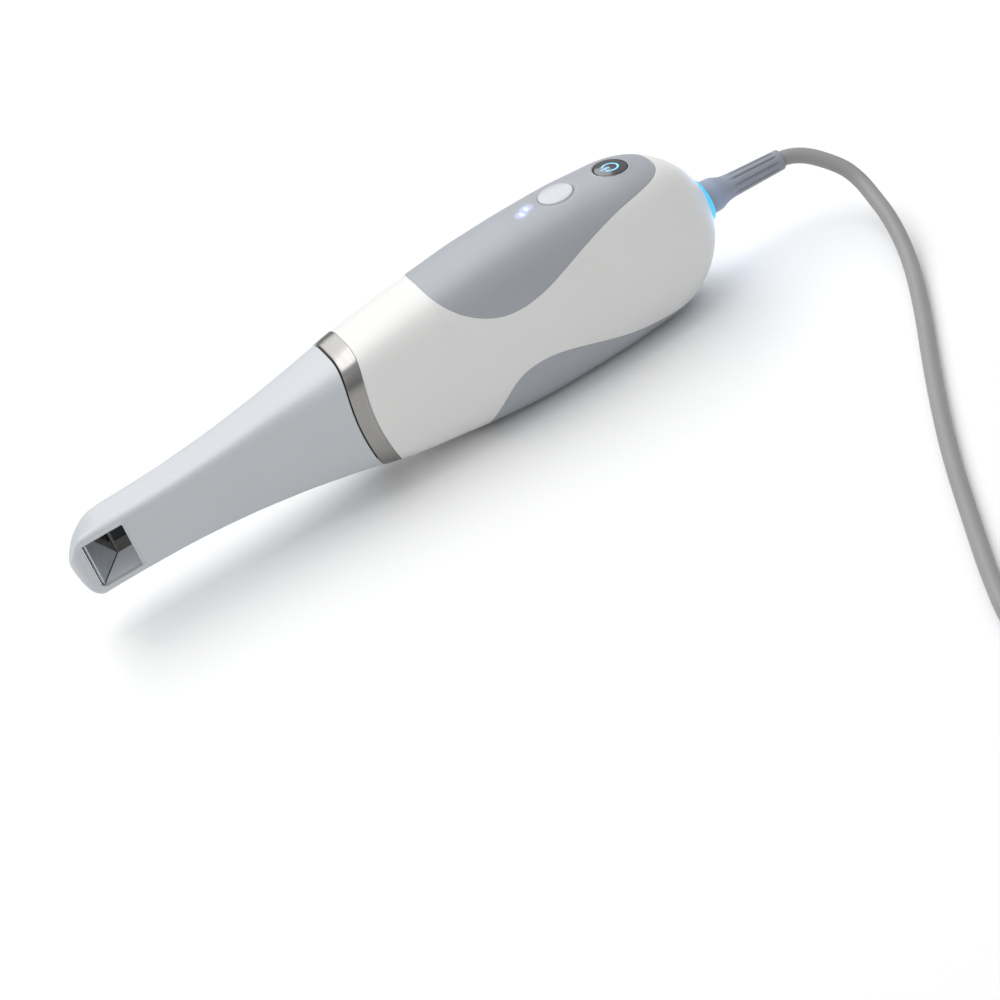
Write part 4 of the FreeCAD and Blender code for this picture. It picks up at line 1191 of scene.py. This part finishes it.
def cap_mesh(cx, a, b_, proud, roll_r, depth, crown=0.0, n=96, slope=True):
    """Crowned cap that follows the skin, with a rolled rim and a skirt."""
    g = Grid()
    fr = list(np.linspace(0.0, 1 - 1.6 / max(a, b_), 16)[1:]) + list(1 - np.array([1.3, 1.0, 0.75, 0.6, 0.45, 0.34, 0.25, 0.17, 0.1, 0.05, 0.02, 0.0]) / max(a, b_))
    rows = []
    for f in fr:
        ring = []
        d = (1 - f) * min(a, b_)
        for i in range(n):
            t = 2 * math.pi * i / n
            x, y = cx + a * f * math.cos(t), b_ * f * math.sin(t)
            z = float(top_z(x, y)) + proud + crown * (1 - f * f) - float(roll(d, roll_r))
            ring.append((x, y, z))
        rows.append(ring)
    for dz in (0.4, depth):
        rows.append([(x, y, z - dz) for x, y, z in rows[-1]] if dz == 0.4 else [(x, y, z - depth) for x, y, z in rows[-1]])
    o = g.add(np.array(rows), closed=True)
    c = len(g.v)
    g.v.append([cx, 0.0, float(top_z(cx, 0.0)) + proud + crown])
    for i in range(n):
        g.f.append((o + i, o + (i + 1) % n, c))
    return g


g = cap_mesh(SCAN_X, SCAN_R, SCAN_R, 0.22, 0.45, 1.6, crown=0.10)
scan_cap = mesh_object("scan_key_cap", g.v, g.f, BTN_W)
g = cap_mesh(POWER_X, POWER_A, POWER_B, -0.22, 0.5, 1.6, crown=0.12)
power_cap = mesh_object("power_key_cap", g.v, g.f, BTN_B)


def icon_mesh():
    """Power symbol, a hair proud of the black cap: an open ring with round ends and a bar."""
    g = Grid()
    R, w = 2.48, 0.29

    def lift(x, y, k):
        f2 = ((x - POWER_X) / POWER_A) ** 2 + (y / POWER_B) ** 2
        return float(top_z(x, y)) - 0.22 + 0.12 * (1 - f2) + 0.02 + 0.035 * k

    def strip(path, closed_ends=True):
        P = np.array(path)
        T = np.gradient(P, axis=0)
        T /= np.linalg.norm(T, axis=1)[:, None]
        N = np.stack([-T[:, 1], T[:, 0]], -1)
        rows = []
        L = np.concatenate([[0], np.cumsum(np.linalg.norm(np.diff(P, axis=0), axis=1))])
        for i in range(len(P)):
            e = min(L[i], L[-1] - L[i])
            hw = w * math.sqrt(max(0.0, 1 - (1 - min(e / w, 1)) ** 2))
            row = []
            for s in np.linspace(-1, 1, 9):
                x, y = P[i] + N[i] * hw * s
                row.append((x, y, lift(x, y, math.sqrt(max(0, 1 - s * s)))))
            rows.append(row)
        g.add(np.array(rows))
    gap = math.radians(27)
    th = np.linspace(math.pi + gap, 3 * math.pi - gap, 120)
    ends = np.linspace(0, 1, 8)[1:] ** 2
    strip([(POWER_X + R * math.cos(t), R * math.sin(t)) for t in th])
    xs = np.concatenate([-3.15 + 0.29 * np.linspace(0, 1, 8) ** 1.6, np.linspace(-2.8, -0.55, 14), -0.2 - 0.29 * np.linspace(1, 0, 8) ** 1.6])
    strip([(POWER_X + x, 0.0) for x in xs])
    return g


g = icon_mesh()
icon = mesh_object("power_symbol", g.v, g.f, ICON)


def led_mesh():
    g = Grid()
    for lx, ly in LEDS:
        rows = []
        n = 40
        for f in (1.0, 0.97, 0.9, 0.78, 0.6, 0.4, 0.2, 0.05):
            ring = []
            for i in range(n):
                t = 2 * math.pi * (i + 0.5) / n
                x = lx + LED_A * f * math.cos(t)
                y = ly + LED_A * f * math.sin(t) + math.copysign(LED_B * (f if f < 0.4 else 1), math.sin(t))
                ring.append((x, y, float(top_z(x, y)) - 0.10 + 0.10 * (1 - f * f)))
            rows.append(ring)
        low = [(x, y, z - 1.2) for x, y, z in rows[0]]
        g.add(np.array([low] + rows), closed=True)
    return g


g = led_mesh()
leds = mesh_object("indicator_bars", g.v, g.f, LED)

# ---------------------------------------------------------------------------
# light ring and strain relief
# ---------------------------------------------------------------------------


def lathe(profile, n, x_to=None):
    rows = []
    for x, r in profile:
        rows.append([(x, r * math.cos(2 * math.pi * i / n), r * math.sin(2 * math.pi * i / n)) for i in range(n)])
    return np.array(rows)


g = Grid()
prof = [(220.7, 6.95), (223.8, 6.98)]
for t in np.linspace(0, math.pi, 17):
    prof.append((224.55 + 0.62 * math.sin(t), 6.30 + 0.66 * math.cos(t)))
prof += [(223.5, 5.66), (221.0, 5.66)]
g.add(lathe(prof, 128), closed=True)
ring_ob = mesh_object("glow_ring", g.v, g.f, RING)


def relief_mesh():
    """Cup, concave neck and long fluted sleeve, leaning a little down."""
    g = Grid()
    n = 200
    lean = math.radians(2.8)
    prof = [(220.8, 5.5), (224.6, 5.52), (225.2, 5.52), (226.2, 5.52), (227.2, 5.49), (228.2, 5.44), (228.9, 5.36), (229.5, 5.20), (230.1, 4.96),
            (230.8, 4.66), (231.5, 4.40), (232.3, 4.16), (233.2, 3.99), (234.2, 3.88), (235.2, 3.82)]
    xs = [p[0] for p in prof]
    body = list(np.linspace(235.6, 252.6, 70))
    prof += [(x, 3.82 + (3.34 - 3.82) * (x - 235.2) / (252.9 - 235.2)) for x in body]
    for t in np.linspace(0, math.pi / 2, 7)[1:]:
        prof.append((252.75 + 0.5 * math.sin(t), 3.34 - 0.5 + 0.5 * math.cos(t)))
    prof += [(253.25, 2.62), (252.9, 2.50), (251.0, 2.50)]
    rows = []
    for x, r in prof:
        # grooves fade in just behind the neck and out near the end
        a = min(1.0, max(0.0, (x - 234.4) / 1.6)) * min(1.0, max(0.0, (251.6 - x) / 1.2))
        a = a * a * (3 - 2 * a)
        ring = []
        for i in range(n):
            t = 2 * math.pi * i / n
            u = (t * 10 / (2 * math.pi)) % 1.0
            d = abs(u - 0.5) * 2          # 0 at the groove's middle, 1 on the rib
            gr = math.exp(-(d / 0.34) ** 4)
            rr = r - 0.5 * a * gr if r > 2.8 else r
            y, z = rr * math.cos(t), rr * math.sin(t)
            dx = x - 225.2
            if dx > 0:
                X = 225.2 + dx * math.cos(lean) + z * math.sin(lean)
                Z = z * math.cos(lean) - dx * math.sin(lean)
                s = min(1.0, dx / 2.0)
                X, Z = x + (X - x) * s, z + (Z - z) * s
            else:
                X, Z = x, z
            ring.append((X, y, Z))
        rows.append(ring)
    g.add(np.array(rows), closed=True)
    return g


g = relief_mesh()
relief = mesh_object("relief_boot", g.v, g.f, RELIEF)

# ---------------------------------------------------------------------------
# the lead: one spline through the route, the coil's turns and the tail
# ---------------------------------------------------------------------------
TABLE = -AXIS_H
LAY = TABLE + 2.5
ROUTE = [(253.2, 0.0, -1.38), (259.0, -0.2, -2.0), (268.2, -8.6, -8.9), (270.2, -14.4, -13.1), (269.9, -19.8, -15.2),
         (267.7, -35.0, -18.6), (262.8, -50.9, -24.0), (251.6, -74.5, LAY), (239.5, -97.4, LAY), (228.0, -120.1, LAY),
         (217.1, -143.3, LAY), (207.3, -167.0, LAY), (198.3, -188.9, LAY), (189.8, -212.5, LAY), (188.0, -232.0, LAY),
         (196.5, -249.5, LAY), (211.0, -262.0, LAY), (227.6, -270.2, LAY)]
COIL_C = (243.0, -236.0)
TAIL = [(281.0, -236.0, TABLE + 6.2), (282.6, -223.5, TABLE + 4.9), (280.8, -210.5, TABLE + 4.2), (276.83, -198.1, TABLE + 4.1)]


def coil_points(per=20):
    """Counter-clockwise turns seen from above: five rings inwards on the table, each stepping one diameter in over its last
    quarter, then four rings outwards in the hollows on top."""
    pts = []
    k = 1 / (0.75 + 0.25 * math.cos(2 * math.pi / per))     # the spline runs this much inside its points
    zb, zt = TABLE + 2.52, TABLE + 2.52 + 4.36
    a0 = math.radians(-114.2)

    def ease(t):
        t = min(max(t, 0.0), 1.0)
        return t * t * (3 - 2 * t)
    n1 = 5 * per
    for i in range(1, n1 + 1):
        turn, f = divmod(i / per, 1.0)
        r = 37.5 - 5.0 * (turn + ease((f - 0.72) / 0.28)) if i < 4.72 * per else 17.5 + 2.6 * ease((i / per - 4.72) / 0.28)
        z = zb if i < 4.6 * per else zb + (zt - zb) * ease((i / per - 4.6) / 0.4)
        a = a0 + 2 * math.pi * i / per
        pts.append((COIL_C[0] + k * r * math.cos(a), COIL_C[1] + k * r * math.sin(a), z))
    total = 3 * 360 + (-16.0 + 114.2)
    n2 = int(round(total / 360 * per))
    for i in range(1, n2 + 1):
        t = i / per
        turn, f = divmod(t, 1.0)
        r = 20.1 + 5.0 * (turn + ease((f - 0.72) / 0.28))
        a = a0 + math.radians(total) * i / n2
        pts.append((COIL_C[0] + k * r * math.cos(a), COIL_C[1] + k * r * math.sin(a), zt))
    return pts


coil = coil_points()
points = ROUTE + coil + [(279.0, -237.5, TABLE + 7.6), (281.4, -229.0, TABLE + 7.4), (281.9, -219.5, TABLE + 5.2)] + [(280.8, -210.5, TABLE + 4.2), (276.83, -198.1, TABLE + 4.1)]
cu = bpy.data.curves.new("lead", "CURVE")
cu.dimensions = "3D"
sp = cu.splines.new("NURBS")
sp.points.add(len(points) - 1)
for q, p in zip(sp.points, points):
    q.co = (*W(p), 1.0)
sp.order_u = 3
sp.use_endpoint_u = True
sp.resolution_u = 8
cu.bevel_depth = 0.0025
cu.bevel_resolution = 8
cu.use_fill_caps = True
lead = bpy.data.objects.new("lead", cu)
bpy.context.scene.collection.objects.link(lead)
cu.materials.append(JACKET)


def strap_mesh():
    """Hook-and-loop strap drawn tight round the coil's rings: the hull of their sections, swept over the strap's width,
    with the free end lapped over the top."""
    g = Grid()
    cen = [(17.5, 2.52), (20.1, 6.88), (30.1, 6.88), (37.5, 2.52)]

    def outline(d):
        pts = [(cen[0][0] - d, 0.0)]
        angs = [math.pi]
        for p, q in zip(cen, cen[1:]):
            angs.append(math.atan2(q[1] - p[1], q[0] - p[0]) + math.pi / 2)
        angs.append(0.0)
        for c, a0, a1 in zip(cen, angs, angs[1:]):
            for t in np.linspace(a0, a1, 9):
                pts.append((c[0] + d * math.cos(t), c[1] + d * math.sin(t)))
        pts.append((cen[-1][0] + d, 0.0))
        return np.array(pts)

    def along(P, m=90):
        L = np.concatenate([[0], np.cumsum(np.linalg.norm(np.diff(P, axis=0), axis=1))])
        t = np.linspace(0, L[-1], m)
        return np.stack([np.interp(t, L, P[:, 0]), np.interp(t, L, P[:, 1])], -1)

    def place(r, z, w):
        a = math.radians(62.0) + w / max(r, 1.0)
        return (COIL_C[0] + r * math.cos(a), COIL_C[1] + r * math.sin(a), TABLE + z)

    def band(d0, d1, width, f0, f1, ends):
        P0, P1 = along(outline(d0)), along(outline(d1))
        m = len(P0)
        i0, i1 = int(f0 * (m - 1)), int(f1 * (m - 1))
        e = 0.14
        rows = []
        idx = list(range(i0, i1 + 1))
        for j, i in enumerate(idx):
            a, b = P0[i], P1[i]
            hw = width / 2
            if ends and len(idx) - 1 - j < 4:
                hw *= math.sqrt(max(0.0, 1 - ((4 - (len(idx) - 1 - j)) / 4.6) ** 2)) * 0.4 + 0.6
            u = (b - a) / np.linalg.norm(b - a)
            loop = []
            for s in np.linspace(-1, 1, 15):
                loop.append((b, s * (hw - e)))
            loop += [(b - u * e, hw), (a + u * e, hw)]
            for s in np.linspace(1, -1, 15):
                loop.append((a, s * (hw - e)))
            loop += [(a + u * e, -hw), (b - u * e, -hw)]
            rows.append([place(q[0], max(q[1], 0.0), w) for q, w in loop])
        o = g.add(np.array(rows), closed=True)
        n = len(rows[0])
        g.f.append(tuple(o + k for k in range(n)))
        g.f.append(tuple(o + (len(rows) - 1) * n + k for k in range(n))[::-1])
    band(2.53, 3.33, 10.0, 0.0, 1.0, False)
    band(3.35, 4.10, 9.2, 0.46, 0.74, True)
    return g


g = strap_mesh()
strap = mesh_object("coil_strap", g.v, g.f, TIE, sharp=50)


def lead_length():
    c2 = cu.copy()
    c2.bevel_depth = 0.0
    o2 = bpy.data.objects.new("tmp", c2)
    me = bpy.data.meshes.new_from_object(o2)
    P = np.array([v.co[:] for v in me.vertices])
    bpy.data.objects.remove(o2)
    return float(np.linalg.norm(np.diff(P, axis=0), axis=1).sum())


LENGTH = lead_length()
print("lead length", LENGTH)

# ---------------------------------------------------------------------------
# bodies, replacements, slots
# ---------------------------------------------------------------------------
PIECES = [
    (tip, "tip", ("tip_sleeve",), "tip_plastic"),
    (channel, "tip", (), "tip_plastic"),
    (gasket, "tip", (), "black_plastic"),
    # far wall's dark sheet: brownish tone with painted shade
    (far_wall_sheet, "tip", (), "black_plastic"),
    (collar, "handle", ("collar_ring",), "collar_metal"),
    (housing, "handle", ("main_housing",), "white_shell"),
    (belly, "handle", ("bottom_cover",), "grey_cover"),
    (top_cover, "handle", ("top_cover",), "grey_cover"),
    (scan_cap, "scan_key", ("scan_button",), "button_white"),
    (power_cap, "power_key", ("power_button",), "button_black"),
    (icon, "power_key", ("power_icon",), "icon_glow"),
    (leds, "handle", ("indicator_lens",), "led_glow"),
    (ring_ob, "handle", ("light_ring",), "ring_glow"),
    (relief, "handle", ("strain_relief",), "relief_rubber"),
    (lead, "handle", ("cable", "cable_coil", "cable_tail"), "cable_jacket"),
    (strap, "handle", ("cable_tie",), "tie_fabric"),
]
for ob, body, nodes, slot in PIECES:
    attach(ob, body)
    if nodes:
        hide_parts(*nodes)

# ---------------------------------------------------------------------------
# floor, light
# ---------------------------------------------------------------------------
me = bpy.data.meshes.new("floor")
S = 4.0
me.from_pydata([(-S, -S, 0), (S, -S, 0), (S, S, 0), (-S, S, 0)], [], [(0, 1, 2, 3)])
floor = bpy.data.objects.new("floor", me)
bpy.context.scene.collection.objects.link(floor)
fm, nt, bs = new_mat("mat_floor")
fn_ = noise(nt, coords(nt), 3.0, 3.0, 0.5)
nt.links.new(ramp(nt, fn_, [(0.3, (0.87, 0.87, 0.868)), (0.7, (0.89, 0.89, 0.888))]), bs.inputs["Base Color"])
bs.inputs["Roughness"].default_value = 0.7
bs.inputs["Specular IOR Level"].default_value = 0.2
me.materials.append(fm)


def area(name, loc, target, size, power, color=(1, 1, 1), size_y=None):
    ld = bpy.data.lights.new(name, "AREA")
    ld.energy = power
    ld.color = color
    ld.shape = "RECTANGLE"
    ld.size = size
    ld.size_y = size_y or size
    ob = bpy.data.objects.new(name, ld)
    bpy.context.scene.collection.objects.link(ob)
    ob.location = loc
    ob.rotation_mode = "QUATERNION"
    ob.rotation_quaternion = (Vector(target) - Vector(loc)).to_track_quat("-Z", "Y")
    return ob


area("key", (-0.12, 0.40, 1.25), (0.0, 0.0, 0.03), 0.9, 9.0, size_y=1.3)
area("fill", (-1.1, -1.0, 0.9), (0.0, 0.0, 0.03), 1.0, 1.4)
area("back_card", (0.15, 0.97, 0.72), (-0.03, 0.0, 0.045), 0.8, 2.1, size_y=0.5)
sd = bpy.data.lights.new("soft_sun", "SUN")
sd.energy = 0.32
sd.angle = math.radians(70)
so = bpy.data.objects.new("soft_sun", sd)
bpy.context.scene.collection.objects.link(so)
so.rotation_mode = "QUATERNION"
so.rotation_quaternion = (-Vector((-0.25, 0.35, 1.0))).to_track_quat("-Z", "Y")

# the light ring's own spill on the housing and the boot
for k in range(14):
    a = 2 * math.pi * (k + 0.5) / 14
    ld = bpy.data.lights.new("ring_spill_%d" % k, "POINT")
    ld.energy = 0.00024
    ld.color = (0.25, 0.55, 1.0)
    ld.shadow_soft_size = 0.0035
    ob = bpy.data.objects.new("ring_spill_%d" % k, ld)
    bpy.context.scene.collection.objects.link(ob)
    ob.location = W((229.5, 10.0 * math.cos(a), 10.0 * math.sin(a)))

world = bpy.data.worlds.new("world")
bpy.context.scene.world = world
world.use_nodes = True
wn = world.node_tree
wc = wn.nodes.new("ShaderNodeTexCoord")
sep = wn.nodes.new("ShaderNodeSeparateXYZ")
wn.links.new(wc.outputs["Generated"], sep.inputs[0])
wr = wn.nodes.new("ShaderNodeValToRGB")
wr.color_ramp.elements[0].position, wr.color_ramp.elements[0].color = 0.0, (0.30, 0.30, 0.31, 1)
wr.color_ramp.elements[1].position, wr.color_ramp.elements[1].color = 0.8, (0.72, 0.725, 0.73, 1)
wn.links.new(sep.outputs["Z"], wr.inputs[0])
wn.links.new(wr.outputs[0], wn.nodes["Background"].inputs[0])
wn.nodes["Background"].inputs[1].default_value = 1.0
bpy.context.scene.view_settings.view_transform = "Standard"
bpy.context.scene.view_settings.look = "None"

bpy.context.view_layer.update()
